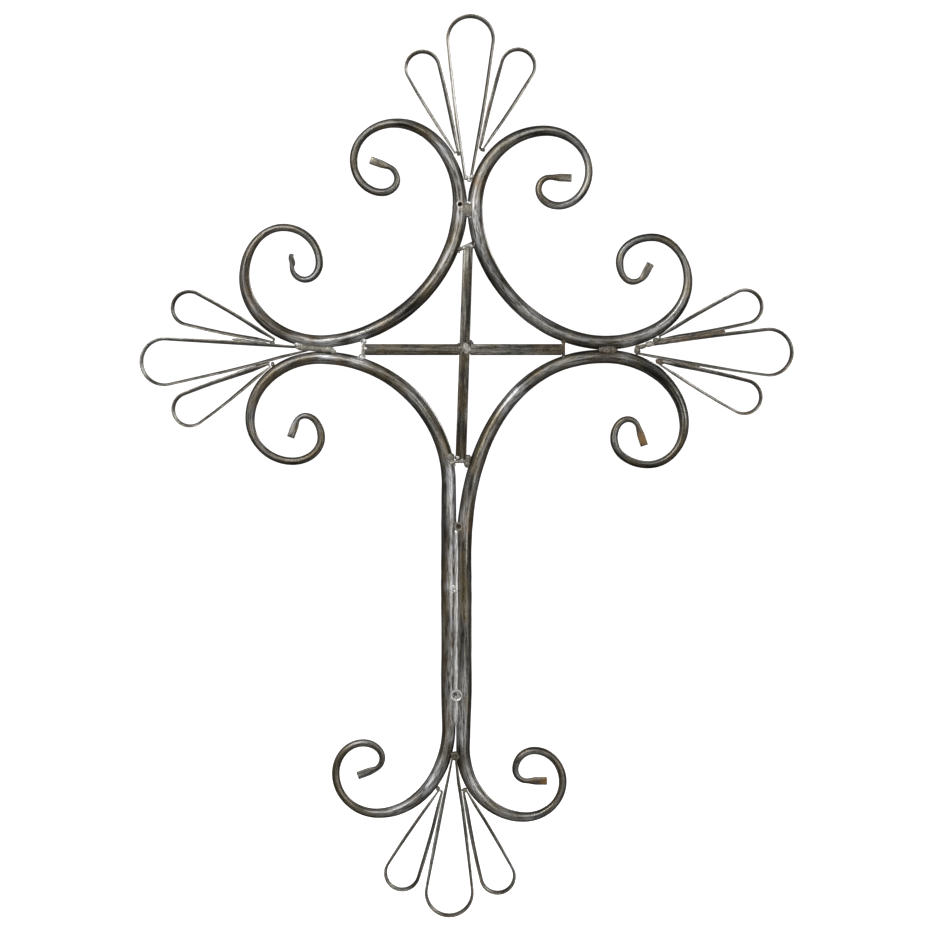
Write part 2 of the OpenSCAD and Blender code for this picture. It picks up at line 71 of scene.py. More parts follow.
MM = 0.001
HOLE_SLOPE = 12  # the hanging hole runs down towards the back, in degrees
Point = tuple[float, float]
Colour = tuple[float, float, float, float]
Socket = bpy.types.NodeSocket
Input = Socket | float | Colour
Wear = Callable[[Vector, Vector], list[float]]


# ---- Sizes of the round bars ----------------------------------------------------------------


@dataclass(frozen=True)
class CrossSizes:
    """Where the bars' middle lines stand and how thick the iron is, in millimetres."""

    left_arm: float = 147
    right_arm: float = 153
    arm_drop: float = 152.4
    head_step: float = 3
    left_shoulder: float = 142
    right_shoulder: float = 220
    left_shaft: float = 255
    right_shaft: float = 200
    shaft_offset: float = 11.8
    right_foot_offset: float = 3.2
    seam_drop: float = 186
    foot_taper: float = 36
    shaft_d: float = 15.6
    left_shoulder_d: float = 14.2
    foot_d: float = 13.8
    head_d: float = 15.4
    lower_bay_d: float = 14.2
    upper_bay_d: float = 15.2
    left_wrist_d: float = 12.9
    right_wrist_d: float = 14.1
    weld_gap: float = 0.3
    strip_t: float = 1.8
    hole_d: float = 4.5

    @property
    def arm_z(self) -> float:
        """Height of the arms' middle line."""
        return -self.arm_drop

    @property
    def head_x(self) -> float:
        """The upper right bar's middle line at the head."""
        return self.head_d + self.weld_gap

    @property
    def left_bar_x(self) -> float:
        """The left bar's middle line in the shaft."""
        return -self.shaft_offset

    @property
    def right_bar_x(self) -> float:
        """The right bar's middle line in the shaft."""
        return self.left_bar_x + self.shaft_d + self.weld_gap

    @property
    def left_spread(self) -> float:
        """Arm's middle line to either bar of the left arm."""
        return self.left_wrist_d / 2 + self.strip_t + self.weld_gap

    @property
    def right_spread(self) -> float:
        """Arm's middle line to either bar of the right arm."""
        return (self.right_wrist_d + self.weld_gap) / 2

    @property
    def seam_top(self) -> float:
        """Height at which the shaft's two bars come together."""
        return self.arm_z - self.seam_drop

    @property
    def seam_foot(self) -> float:
        """Height at which they part again."""
        return self.left_foot_z + self.foot_taper

    @property
    def left_foot_z(self) -> float:
        """Lower end of the left bar's straight stretch."""
        return self.arm_z - self.left_shoulder - self.left_shaft

    @property
    def right_foot_z(self) -> float:
        """Lower end of the right bar's straight stretch."""
        return self.arm_z - self.right_shoulder - self.right_shaft


SIZES = CrossSizes()


@dataclass(frozen=True)
class DrawnEnd:
    """How the iron thins towards a tip, in millimetres from the tip."""

    tip_w: float = 7.6
    tip_t: float = 4.2
    flat_share: float = 0.6
    neck_at: float = 21
    neck_d: float = 5.4
    thin_from: float = 56
    thin_d: float = 7.8
    thin_to: float = 145
    knee_at: float = 240
    knee_d: float = 13.2
    full_at: float = 330

    def width(self, reach: float, flat: float) -> float:
        """Width of the iron.

        Args:
            reach: Distance from the tip.
            flat: Width of the flattened tip on this side.

        Returns:
            The width at that place.
        """
        rows = (
            (0.0, flat), (self.flat_share * self.neck_at, flat), (self.neck_at, self.neck_d),
            (self.thin_from, self.thin_d), (self.thin_to, self.thin_d),
            (self.knee_at, self.knee_d), (self.full_at, SIZES.shaft_d),
        )
        for (a, low), (b, high) in zip(rows, rows[1:]):
            if reach <= b:
                return low + (high - low) * max(0.0, reach - a) / (b - a)
        return SIZES.shaft_d


@dataclass(frozen=True)
class Scroll:
    """One scroll: quarter turns from its joint in, the last bend and the straight tip."""

    start: Point
    heading: float
    turn: int
    along: tuple[float, ...]
    across: tuple[float, ...]
    bend: tuple[float, float, float]
    joint_d: float
    edge_on: bool = False


@dataclass(frozen=True)
class Bay:
    """A bay between two joints, an arc of a fuller or leaner ellipse."""

    upright: Point
    arm: Point
    fullness: float
    diameters: tuple[float, float, float]

    def place(self, angle: float) -> Point:
        """Place on the bay's curve, for 0 at its upright end and 90 at its arm end.

        Args:
            angle: How far round the bay, in degrees.

        Returns:
            The place across and up.
        """
        a = math.radians(angle)
        c, s = max(0.0, math.cos(a)), max(0.0, math.sin(a))
        (xu, zu), (xa, za) = self.upright, self.arm
        return (xa + (xu - xa) * c ** (2 / self.fullness),
                zu + (za - zu) * s ** (2 / self.fullness))

    def diameter(self, angle: float) -> float:
        """Diameter of the iron at that place.

        Args:
            angle: How far round the bay, in degrees.

        Returns:
            The diameter, by straight changes between the three given.
        """
        top, middle, end = self.diameters
        if angle < 45:
            return top + (middle - top) * angle / 45
        return middle + (end - middle) * (angle - 45) / 45


@dataclass
class Station:
    """One place along a bar: where it is, its section and how far it is from the nearer tip."""

    x: float
    z: float
    width: float
    depth: float
    reach: float


# ---- Routes ---------------------------------------------------------------------------------


class RouteMaker:
    """Turns scrolls, bays and straights into evenly spaced stations."""

    step = 2.6
    fine = 40
    bay_fine = 360
    tip_fine = 10
    far = 999.0  # the reach of a place that is nowhere near a tip
    end = DrawnEnd()

    def scroll(self, scroll: Scroll) -> list[Station]:
        """Stations of a scroll from its joint out to its tip.

        Args:
            scroll: The scroll's sizes.

        Returns:
            Stations, the joint's first.
        """
        places: list[Point] = [scroll.start]
        heading = scroll.heading
        for along, across in zip(scroll.along, scroll.across):
            places += self._arc(places[-1], heading, scroll.turn, along, across, 90)
            heading += 90 * scroll.turn
        radius, degrees, straight = scroll.bend
        places += self._arc(places[-1], heading, scroll.turn, radius, radius, degrees)
        heading += degrees * scroll.turn
        x, z = places[-1]
        way = (math.cos(math.radians(heading)), math.sin(math.radians(heading)))
        places += [(x + way[0] * straight * k / self.tip_fine,
                    z + way[1] * straight * k / self.tip_fine)
                   for k in range(1, self.tip_fine + 1)]
        places = [self._between(places, k, u) for k, u in self._even(places)]
        flat = (self.end.tip_t, self.end.tip_w) if scroll.edge_on else (
            self.end.tip_w, self.end.tip_t)
        return [
            Station(p[0], p[1], min(scroll.joint_d, self.end.width(t, flat[0])),
                    min(scroll.joint_d, self.end.width(t, flat[1])), t)
            for p, t in zip(places, self._from_end(places))
        ]

    def bay(self, bay: Bay) -> list[Station]:
        """Stations of a bay from its upright end to its arm end.

        Args:
            bay: The bay's sizes.

        Returns:
            Stations, the upright's first.
        """
        angles = [90 * k / self.bay_fine for k in range(self.bay_fine + 1)]
        places = [bay.place(a) for a in angles]
        made = []
        for k, u in self._even(places):
            d = bay.diameter(angles[k] + (angles[k + 1] - angles[k]) * u)
            made.append(Station(*self._between(places, k, u), d, d, self.far))
        return made

    def straight(self, rows: Sequence[tuple[float, float, float]]) -> list[Station]:
        """Stations along straights, from rows of place and diameter, both ends included.

        Args:
            rows: Place across and up and the diameter there.

        Returns:
            Stations, both ends included.
        """
        made: list[Station] = []
        for (xa, za, da), (xb, zb, db) in zip(rows, rows[1:]):
            count = max(1, round(math.dist((xa, za), (xb, zb)) / self.step))
            for i in range(count):
                u = i / count
                d = da + (db - da) * u
                made.append(Station(xa + (xb - xa) * u, za + (zb - za) * u, d, d, self.far))
        x, z, d = rows[-1]
        return made + [Station(x, z, d, d, self.far)]

    def _even(self, places: list[Point]) -> list[tuple[int, float]]:
        """Even steps along a line, each as a stretch's number and the share of it walked.

        Args:
            places: The line's places.

        Returns:
            A row for each step.
        """
        walked = [0.0]
        for p, q in zip(places, places[1:]):
            walked.append(walked[-1] + math.dist(p, q))
        count = round(walked[-1] / self.step)
        made, k = [], 0
        for i in range(count + 1):
            goal = walked[-1] * i / count
            while k < len(walked) - 2 and walked[k + 1] < goal:
                k += 1
            made.append((k, (goal - walked[k]) / max(1e-9, walked[k + 1] - walked[k])))
        return made

    @staticmethod
    def _between(places: list[Point], k: int, u: float) -> Point:
        """The place a share of the way along a line's stretch.

        Args:
            places: The line's places.
            k: The stretch.
            u: The share of it.

        Returns:
            The place.
        """
        (xa, za), (xb, zb) = places[k], places[k + 1]
        return (xa + (xb - xa) * u, za + (zb - za) * u)

    def _arc(self, start: Point, heading: float, turn: int, along: float, across: float,
             degrees: float) -> list[Point]:
        """Places along part of an ellipse that sets out along the heading.

        Args:
            start: Where it sets out.
            heading: Its way there, in degrees.
            turn: 1 to the left, -1 to the right.
            along: Half its length along the heading.
            across: Half its length across.
            degrees: How much of it is walked.

        Returns:
            The places after the first.
        """
        h = math.radians(heading)
        v = (math.cos(h), math.sin(h))
        w = (-turn * math.sin(h), turn * math.cos(h))
        row = []
        for k in range(1, self.fine + 1):
            g = math.radians(degrees * k / self.fine)
            a, b = along * math.sin(g), across * (1 - math.cos(g))
            row.append((start[0] + v[0] * a + w[0] * b, start[1] + v[1] * a + w[1] * b))
        return row

    @staticmethod
    def _from_end(places: list[Point]) -> list[float]:
        """Distance of each place from the last one.

        Args:
            places: The line's places.

        Returns:
            The distances, walked along it.
        """
        back = [0.0]
        for p, q in zip(places[::-1], places[-2::-1]):
            back.append(back[-1] + math.dist(p, q))
        return back[::-1]


# ---- Marks on the iron ----------------------------------------------------------------------


class Mark(Enum):
    """What has happened to the iron's skin at a place; the ground mark also carries painted
    highlight.
    """

    GROUND_AND_HIGHLIGHT = 0
    SCORCH = 1
    RUST = 2


@dataclass(frozen=True)
class Spot:
    """A mark with its place and size in millimetres."""

    mark: Mark
    x: float
    z: float
    size: float
    amount: float = 1.0
    length: float = 0.0

    def at(self, x: float, z: float) -> float:
        """How strong the mark is at a place, 0 to 1.

        Args:
            x: Distance across.
            z: Height.

        Returns:
            The strength.
        """
        dz = max(0.0, abs(z - self.z) - self.length / 2)
        d = math.hypot(x - self.x, dz) / self.size
        if d >= 1:
            return 0.0
        t = 1 - d
        return self.amount * t * t * (3 - 2 * t)


def spots(mark: Mark, *rows: tuple[float, ...]) -> list[Spot]:
    """Spots of one mark, from rows of place across and up, size, strength and length."""
    return [Spot(mark, *row) for row in rows]


SPOTS: list[Spot] = [
    *spots(
        # Ground spots: bare ground metal about the welds, and painted highlight: the bright
        # patches at the head's right side and on the left bar (-5, -306), and the four about the
        # foot, which stand in for light the foot lacks.
        Mark.GROUND_AND_HIGHLIGHT, (8, -8, 26, 0.9), (20, -30, 30, 0.45), (-14, 60, 34, 0.3),
        (40, 70, 34, 0.15), (-140, -152, 26, 0.8), (-168, -146, 20, 0.7), (-104, -146, 16, 0.9),
        (-104, -160, 16, 0.9), (176, -150, 20, 0.6), (206, -140, 30, 0.4), (57, -195, 7, 1.0),
        (-5, -306, 12, 0.8, 60), (-6, -440, 9, 0.55, 190), (-8, -402, 12, 0.8),
        (-4, -545, 14, 0.6, 30), (-28, -606, 34, 0.7), (22, -606, 32, 0.6), (-66, -628, 34, 0.5),
        (58, -634, 34, 0.4), (-106, -560, 26, 0.3), (-186, 20, 40, 0.3), (-190, -232, 40, 0.4),
        (118, 0, 60, 0.12), (52, -205, 30, 0.5), (-52, -196, 30, 0.15), (70, -110, 40, 0.3),
    ),
    *spots(
        Mark.SCORCH, (8, 28, 16, 0.6), (8, -12, 12, 0.7), (-190, -130, 36, 0.5),
        (155, -152, 24, 0.9), (130, -146, 20, 0.5), (-6, -268, 14, 0.9), (10, -268, 12, 0.7),
        (-2, -580, 20, 0.7), (-60, -100, 60, 0.3),
    ),
    *spots(
        Mark.RUST, (24, 16, 22, 0.25), (13, 24, 14, 0.6), (-120, -166, 30, 0.4),
        (10, -350, 16, 0.14, 30), (-50, -632, 20, 0.25), (190, -250, 22, 0.9),
        (84, -606, 26, 1.0), (100, -584, 16, 0.5), (-172, -236, 12, 0.4),
        (-222, -90, 40, 0.22, 40), (-150, -150, 40, 0.16), (-205, -215, 30, 0.2, 30),
    ),
]


def marks_at(x: float, z: float) -> list[float]:
    """The three marks at a place given in millimetres.

    Args:
        x: Distance across.
        z: Height.

    Returns:
        Ground (also painted highlight at some spots), scorched and rusty, each 0 to 1.
    """
    found = [0.0, 0.0, 0.0]
    for spot in SPOTS:
        if abs(x - spot.x) < spot.size and abs(z - spot.z) < spot.size + spot.length / 2:
            k = spot.mark.value
            found[k] = max(found[k], spot.at(x, z))
    return found


# ---- Finishes -------------------------------------------------------------------------------


def tone(code: str) -> Colour:
    """A colour written as six hex digits, as the shader's linear numbers.

    Args:
        code: A hash sign and the six digits.

    Returns:
        Red, green, blue and 1.
    """
    parts = [int(code[i:i + 2], 16) / 255 for i in (1, 3, 5)]
    lin = [c / 12.92 if c <= 0.04045 else ((c + 0.055) / 1.055) ** 2.4 for c in parts]
    return (lin[0], lin[1], lin[2], 1.0)


@dataclass(frozen=True)
class IronFinish:
    """How one kind of iron looks."""

    name: str
    dark: str
    middle: str
    light: str
    brown: str
    bright: str
    brown_share: float = 0.5
    streak: float = 360.0
    stretch: float = 0.035
    metallic: float = 0.7
    rough_low: float = 0.26
    rough_high: float = 0.5
    bump: float = 0.35
    bump_depth: float = 0.0005
    grit: float = 1500.0
    grain: float = 0.28


RUBBED = IronFinish("rubbed_iron", "#191814", "#3f3c34", "#908d84", "#54472a", "#d2d3d6",
                    brown_share=0.62, rough_low=0.24, rough_high=0.48, bump=0.6, grain=0.5)
SQUARE = IronFinish("mill_scale_iron", "#1d1b17", "#423f38", "#7e7a71", "#46391f", "#aaa9a3",
                    brown_share=0.6, streak=420, stretch=0.06, grain=0.4)
STRIP = IronFinish("strip_iron", "#24211b", "#47443d", "#7f7b71", "#4c4028", "#bab8b1",
                   brown_share=0.65, streak=700, stretch=0.05, metallic=0.6)
STRAP = IronFinish("scorched_strap", "#26231c", "#4a463c", "#8b877c", "#5a4a2e", "#c8c5bf",
                   brown_share=0.6, streak=500, stretch=0.2, bump=0.5)
WELD = IronFinish("weld_metal", "#6b6961", "#b4b3b0", "#ededec", "#8c836f", "#ffffff",
                  brown_share=0.3, streak=450, stretch=0.6, metallic=0.5, rough_low=0.3,
                  rough_high=0.5, bump=0.35)
SEAM = IronFinish("seam_metal", "#75736e", "#a2a19e", "#cbcac8", "#837c6c", "#e9e9e8",
                  brown_share=0.25, streak=420, stretch=0.05, metallic=0.55, rough_low=0.3,
                  rough_high=0.42, bump=0.05, grain=0.1)
SLAG = IronFinish("weld_scale", "#24211b", "#504b40", "#8a8578", "#4f4128", "#c2bfb6",
                  brown_share=0.5, streak=500, stretch=0.6, metallic=0.5, rough_low=0.4,
                  rough_high=0.7, bump=0.45)


class Bench:
    """Places and joins shader nodes in one tree."""

    spacing = 190

    def __init__(self, tree: bpy.types.NodeTree) -> None:
        """Empties the tree."""
        self.tree = tree
        self.tree.nodes.clear()
        self.column = 0

    def node(self, kind: str, inputs: dict[str | int, object] | None = None,
             **settings: object) -> bpy.types.Node:
        """Adds a node.

        Args:
            kind: Blender's name for it.
            inputs: Socket name or number to a value or another node's socket.
            **settings: Its own settings.

        Returns:
            The node.
        """
        made = self.tree.nodes.new(kind)
        made.location = (self.column * self.spacing, 0)
        self.column += 1
        for name, value in settings.items():
            setattr(made, name, value)
        for name, value in (inputs or {}).items():
            if isinstance(value, Socket):
                self.tree.links.new(value, made.inputs[name])
            else:
                made.inputs[name].default_value = value
        return made

    def noise(self, vector: Socket, scale: float, detail: float = 3,
              rough: float = 0.6) -> Socket:
        """Noise from 0 to 1."""
        return self.node("ShaderNodeTexNoise", {
            "Vector": vector, "Scale": scale, "Detail": detail, "Roughness": rough,
        }).outputs["Fac"]

    def spread(self, value: Socket, low: float, high: float, to_low: float = 0.0,
               to_high: float = 1.0) -> Socket:
        """The value stretched from one range to another."""
        return self.node("ShaderNodeMapRange", {
            "Value": value, "From Min": low, "From Max": high, "To Min": to_low,
            "To Max": to_high,
        }, interpolation_type="SMOOTHSTEP").outputs["Result"]

    def maths(self, operation: str, a: Input, b: Input) -> Socket:
        """Arithmetic on two values."""
        return self.node("ShaderNodeMath", {0: a, 1: b}, operation=operation).outputs[0]

    def mix(self, share: Input, a: Input, b: Input) -> Socket:
        """One colour laid over another.

        Args:
            share: How much of the second shows.
            a: The first colour.
            b: The second colour.

        Returns:
            The colour.
        """
        made = self.node("ShaderNodeMix", data_type="RGBA")
        for socket, value in ((made.inputs[0], share), (made.inputs[6], a), (made.inputs[7], b)):
            if isinstance(value, Socket):
                self.tree.links.new(value, socket)
            else:
                socket.default_value = value
        return made.outputs[2]


class IronPainter:
    """Makes each finish's material once."""

    blotch, patch, grain = 21, 85, 760  # how fine each pattern is, in turns a metre
    flow_shift = (0.3, 0.1, 0.7)
    ramp = (0.42, 0.52, 0.64)
    burnt = tone("#2b241d")
    rusts = (tone("#59411f"), tone("#967346"))

    def __init__(self) -> None:
        """Starts with no material made."""
        self.made: dict[str, bpy.types.Material] = {}

    def material(self, finish: IronFinish) -> bpy.types.Material:
        """The material of a finish.

        Args:
            finish: The finish.

        Returns:
            Its material, streaked along the iron and marked where the iron is.
        """
        if finish.name in self.made:
            return self.made[finish.name]
        mat = bpy.data.materials.new(finish.name)
        mat.use_nodes = True
        b = Bench(mat.node_tree)
        flow = b.node("ShaderNodeAttribute", attribute_name="flow").outputs["Vector"]
        marks = b.node("ShaderNodeSeparateColor", {
            "Color": b.node("ShaderNodeAttribute", attribute_name="marks").outputs["Color"],
        })
        place = b.node("ShaderNodeTexCoord").outputs["Object"]
        long = b.node("ShaderNodeMapping", {
            "Vector": flow, "Scale": (1, 1, finish.stretch)}).outputs["Vector"]
        short = b.node("ShaderNodeMapping", {
            "Vector": flow, "Location": self.flow_shift, "Scale": (1, 1, finish.stretch * 3),
        }).outputs["Vector"]
        streak = b.noise(long, finish.streak, 5, 0.62)
        flecks = b.noise(short, finish.streak * 1.7, 4, 0.7)
        blotch = b.noise(place, self.blotch, 3, 0.55)
        patch = b.noise(place, self.patch, 4, 0.65)
        grit = b.noise(place, finish.grit, 2, 0.6)
        grain = b.noise(place, self.grain, 3, 0.75)
        colour = b.mix(b.spread(blotch, 0.38, 0.62, 0, finish.brown_share),
                       self._streaks(b, streak, finish), tone(finish.brown))
        shade = b.maths("MULTIPLY", b.spread(patch, 0.3, 0.62, 0.72, 1.12),
                        b.spread(grain, 0.36, 0.64, 1 - finish.grain, 1 + finish.grain))
        colour = b.node("ShaderNodeVectorMath", {0: colour, 1: b.node(
            "ShaderNodeCombineXYZ", {"X": shade, "Y": shade, "Z": shade}).outputs[0]},
            operation="MULTIPLY").outputs[0]
        # The red marks layer lays on rubbed bright metal, painted highlight in part; the green
        # layer lays on burnt dark, painted shade in part on the flanks of bars, beads and square
        # bars.
        rub = b.maths("MULTIPLY", marks.outputs["Red"], b.spread(flecks, 0.38, 0.6, 0.06, 1))
        colour = b.mix(rub, colour, tone(finish.bright))
        burnt = b.maths("MULTIPLY", marks.outputs["Green"], b.spread(patch, 0.3, 0.6, 0.4, 1))
        colour = b.mix(burnt, colour, self.burnt)
        rust = b.maths("MULTIPLY", marks.outputs["Blue"], b.spread(patch, 0.4, 0.6, 0.15, 1))
        colour = b.mix(rust, colour, b.mix(flecks, *self.rusts))
        rough = b.maths("ADD", b.spread(flecks, 0.3, 0.7, finish.rough_low, finish.rough_high),
                        b.maths("MULTIPLY", rust, 0.2))
        height = b.maths("ADD", b.maths("MULTIPLY", streak, 0.5),
                         b.maths("MULTIPLY", grit, 0.35))
        height = b.maths("ADD", height, b.maths("MULTIPLY", flecks, 0.35))
        bump = b.node("ShaderNodeBump", {
            "Strength": finish.bump, "Distance": finish.bump_depth, "Height": height})
        shader = b.node("ShaderNodeBsdfPrincipled", {
            "Base Color": colour, "Metallic": finish.metallic, "Roughness": rough,
            "Normal": bump.outputs["Normal"]})
        b.node("ShaderNodeOutputMaterial", {"Surface": shader.outputs["BSDF"]})
        self.made[finish.name] = mat
        return mat

    def _streaks(self, b: Bench, streak: Socket, finish: IronFinish) -> Socket:
        """The iron's own colour, dark to light along its streaks.

        Args:
            b: Bench of the material.
            streak: The streaks, 0 to 1.
            finish: The finish.

        Returns:
            The colour.
        """
        body = b.node("ShaderNodeValToRGB", {"Fac": streak})
        ends = body.color_ramp.elements
        ends[0].position, ends[0].color = self.ramp[0], tone(finish.dark)
        ends[1].position, ends[1].color = self.ramp[2], tone(finish.light)
        ends.new(self.ramp[1]).color = tone(finish.middle)
        return body.outputs["Color"]


# ---- Pieces ---------------------------------------------------------------------------------


class PieceMaker:
    """Shared steps of every piece: mesh, skin attributes, finish and body."""

    def __init__(self, painter: IronPainter) -> None:
        """Keeps the painter that gives the finishes."""
        self.painter = painter

    def from_rings(self, name: str, rings: list[list[Vector]]) -> bpy.types.Object:
        """A piece made of closed rings, one after another, with both ends covered.

        Args:
            name: The piece's name.
            rings: Rings of points, all with the same number of them.

        Returns:
            The piece, its faces outward.
        """
        sides = len(rings[0])
        points = [p for ring in rings for p in ring]
        faces: list[Sequence[int]] = []
        for i in range(len(rings) - 1):
            for k in range(sides):
                a, b = i * sides + k, i * sides + (k + 1) % sides
                faces.append((a, b, b + sides, a + sides))
        for at, turn in ((0, -1), (len(rings) - 1, 1)):
            points.append(sum(rings[at], Vector()) / sides)
            hub = len(points) - 1
            for k in range(sides):
                pair = (at * sides + k, at * sides + (k + 1) % sides)
                faces.append((*pair[::turn], hub))
        mesh = bpy.data.meshes.new(name)
        mesh.from_pydata([p[:] for p in points], [], faces)
        piece = bpy.data.objects.new(name, mesh)
        bpy.context.scene.collection.objects.link(piece)
        self.outward(piece)
        return piece

    @staticmethod
    def outward(piece: bpy.types.Object) -> None:
        """Turns every face outward.

        Args:
            piece: The piece.
        """
        work = bmesh.new()
        work.from_mesh(piece.data)
        bmesh.ops.recalc_face_normals(work, faces=work.faces[:])
        work.to_mesh(piece.data)
        work.free()

    @staticmethod
    def skin_layers(mesh: bpy.types.Mesh) -> tuple[bpy.types.Attribute, bpy.types.Attribute]:
        """Adds the two layers that the finishes read: the iron's run and its marks.

        Args:
            mesh: The mesh.

        Returns:
            Both layers.
        """
        mesh.attributes.new("flow", "FLOAT_VECTOR", "POINT")
        mesh.attributes.new("marks", "FLOAT_COLOR", "POINT")
        return mesh.attributes["flow"], mesh.attributes["marks"]

    def skin(self, piece: bpy.types.Object, flow: Callable[[Vector], Vector],
             wear: Wear) -> None:
        """Writes the way the iron runs and its marks onto a piece.

        Args:
            piece: The piece.
            flow: Gives a point's place with the iron's length as its third number.
            wear: Gives the three marks from a point and its normal.
        """
        mesh = piece.data
        along, marks = self.skin_layers(mesh)
        for i, v in enumerate(mesh.vertices):
            along.data[i].vector = flow(v.co)
            marks.data[i].color = (*wear(v.co, v.normal), 1.0)

    def finish(self, piece: bpy.types.Object, finish: IronFinish, slot: str,
               nodes: Sequence[str] = (), smooth: float = 40) -> bpy.types.Object:
        """Gives a piece its finish and its place in the frame.

        Args:
            piece: The piece.
            finish: Its finish.
            slot: The record's material slot, not used.
            nodes: CAD nodes that it stands for.
            smooth: Steepest edge in degrees that is shaded smooth.

        Returns:
            The same piece.
        """
        piece.data.materials.clear()
        piece.data.materials.append(self.painter.material(finish))
        bpy.ops.object.select_all(action="DESELECT")
        piece.select_set(True)
        bpy.context.view_layer.objects.active = piece
        bpy.ops.object.shade_smooth_by_angle(angle=math.radians(smooth))
        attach(piece, "root")
        if nodes:
            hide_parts(*nodes)
        log.info("%s: %d faces, %s", piece.name, len(piece.data.polygons), finish.name)
        return piece


@dataclass(frozen=True)
class ForgedSkin:
    """How the hammer and the rolls have left a round bar."""

    sides: int = 32
    flats: int = 8
    flat_share: float = 0.8
    dent: float = 0.02
    dent_length: float = 14
    swell: float = 1.085
    twist: float = 0.7
    squareness: float = 0.62
    square_reach: float = 19
    square_over: float = 7
    ridges: tuple[float, float] = (15, 24)
    ridge: float = 0.05
    ridge_pace: float = 2.4
    cut_ease: float = 0.16
    cut_round: float = 0.5
    seed: float = 0.0


class RoundBar(PieceMaker):
    """A forged round bar that runs from one cut tip to the other."""

    flow_radius = 0.007
    hole_wall = (0.4, 0.0, 0.0, 1.0)
    drill_length = 0.06

    def build(self, name: str, stations: list[Station], skin: ForgedSkin,
              hole: float = 0.0) -> bpy.types.Object:
        """Sweeps the bar.

        Args:
            name: The piece's name.
            stations: Places along it.
            skin: The hammer's marks.
            hole: Diameter of a hole through it at the origin, or 0.

        Returns:
            The finished bar.
        """
        walked, rings, runs = 0.0, [], []
        last = len(stations) - 1
        for i, s in enumerate(stations):
            if i:
                walked += math.dist((s.x, s.z), (stations[i - 1].x, stations[i - 1].z))
            a, b = stations[max(0, i - 1)], stations[min(last, i + 1)]
            way = Vector((b.x - a.x, b.z - a.z)).normalized()
            rings.append(self._ring(s, way, walked, skin))
            runs.append(walked)
        for end in (0, -1):
            middle = sum(rings[end], Vector()) / skin.sides
            inner = [p.lerp(middle, skin.cut_ease) for p in rings[end]]
            step = (rings[end][0] - rings[1 if end == 0 else -2][0]).normalized()
            step = step * skin.cut_round * MM
            inner = [p + step for p in inner]
            rings.insert(0 if end == 0 else len(rings), inner)
            runs.insert(0 if end == 0 else len(runs), runs[end])
        piece = self.from_rings(name, rings)
        self._marks(piece, rings, runs, skin)
        if hole:
            self._drill(piece, hole)
        return self.finish(piece, RUBBED, "bar_iron", [name.replace("_iron", "")])

    def _ring(self, s: Station, way: Vector, walked: float, skin: ForgedSkin) -> list[Vector]:
        """The bar's section at one station.

        Args:
            s: The station.
            way: The way the bar runs there.
            walked: Its distance from the first station.
            skin: The hammer's marks.

        Returns:
            The section's points.
        """
        end = max(0.0, min(1.0, (skin.square_reach - s.reach) / skin.square_over))
        power = 1 - skin.squareness * end
        phase = skin.twist * noise.noise(Vector((walked / 90, skin.seed, 0.3)))
        tilt = math.tau / skin.flats
        ring = []
        for k in range(skin.sides):
            t = math.tau * k / skin.sides
            c, d = math.cos(t), math.sin(t)
            c = math.copysign(abs(c) ** power, c)
            d = math.copysign(abs(d) ** power, d)
            local = (t + phase) % tilt - tilt / 2
            flat = math.cos(tilt / 2) / math.cos(local)
            shrink = 1 - skin.flat_share * (1 - flat) * (1 - end)
            spot = Vector((walked / skin.dent_length, c * 1.3 + skin.seed * 7, d * 1.3))
            shrink -= skin.dent * (0.5 + 0.5 * noise.noise(spot))
            if skin.ridges[0] < s.reach < skin.ridges[1]:
                shrink -= skin.ridge * (0.5 + 0.5 * math.sin(s.reach * skin.ridge_pace))
            u = s.width / 2 * c * shrink * skin.swell
            v = s.depth / 2 * d * min(1.0, shrink * skin.swell)
            ring.append(Vector((s.x - way.y * u, v, s.z + way.x * u)) * MM)
        return ring

    def _marks(self, piece: bpy.types.Object, rings: list[list[Vector]], runs: list[float],
               skin: ForgedSkin) -> None:
        """Writes the bar's own length and wear onto its points, with painted highlight on the
        faces towards the front and back and painted shade on the side flanks.

        Args:
            piece: The bar.
            rings: Its sections.
            runs: How far along each section is.
            skin: The hammer's marks.
        """
        along, marks = self.skin_layers(piece.data)
        index = 0
        for ring, run in zip(rings, runs):
            for k, p in enumerate(ring):
                t = math.tau * k / len(ring)
                along.data[index].vector = (
                    self.flow_radius * math.cos(t), self.flow_radius * math.sin(t),
                    run * MM + skin.seed)
                # Painted light: faces towards the front and back get more rubbed bright metal
                # (partly wear, partly painted highlight), and the side flanks get painted shade
                # added to the scorch layer, as light from the front would fall.
                face = abs(math.sin(t))
                worn = noise.noise(Vector((run / 55, math.cos(t), skin.seed * 3 + math.sin(t))))
                ground, scorch_and_side_shade, rust = marks_at(p.x / MM, p.z / MM)
                ground = min(1.0, 0.85 * ground + 0.42 * face ** 3 * max(0.0, 0.35 + worn))
                scorch_and_side_shade = min(1.0, scorch_and_side_shade + 0.8 * (1 - face) ** 1.6)
                marks.data[index].color = (ground, scorch_and_side_shade, rust, 1.0)
                index += 1
        for i in range(index, len(piece.data.vertices)):
            marks.data[i].color = self.hole_wall

    def _drill(self, piece: bpy.types.Object, hole: float) -> None:
        """Drills a hole from front to back through the origin.

        Args:
            piece: The bar.
            hole: The diameter.
        """
        slope = math.radians(HOLE_SLOPE)
        front = Vector((0, -SIZES.head_d / 2 * MM, 0))
        back = Vector((0, math.cos(slope), -math.sin(slope)))
        bpy.ops.mesh.primitive_cylinder_add(
            vertices=32, radius=hole / 2 * MM, depth=self.drill_length,
            location=front + back * 0.01, rotation=(math.pi / 2 - slope, 0, 0))
        drill = bpy.context.active_object
        cut = piece.modifiers.new("drill", "BOOLEAN")
        cut.operation, cut.solver, cut.object = "DIFFERENCE", "EXACT", drill
        bpy.ops.object.select_all(action="DESELECT")
        piece.select_set(True)
        bpy.context.view_layer.objects.active = piece
        bpy.ops.object.modifier_apply(modifier=cut.name)
        bpy.data.objects.remove(drill)


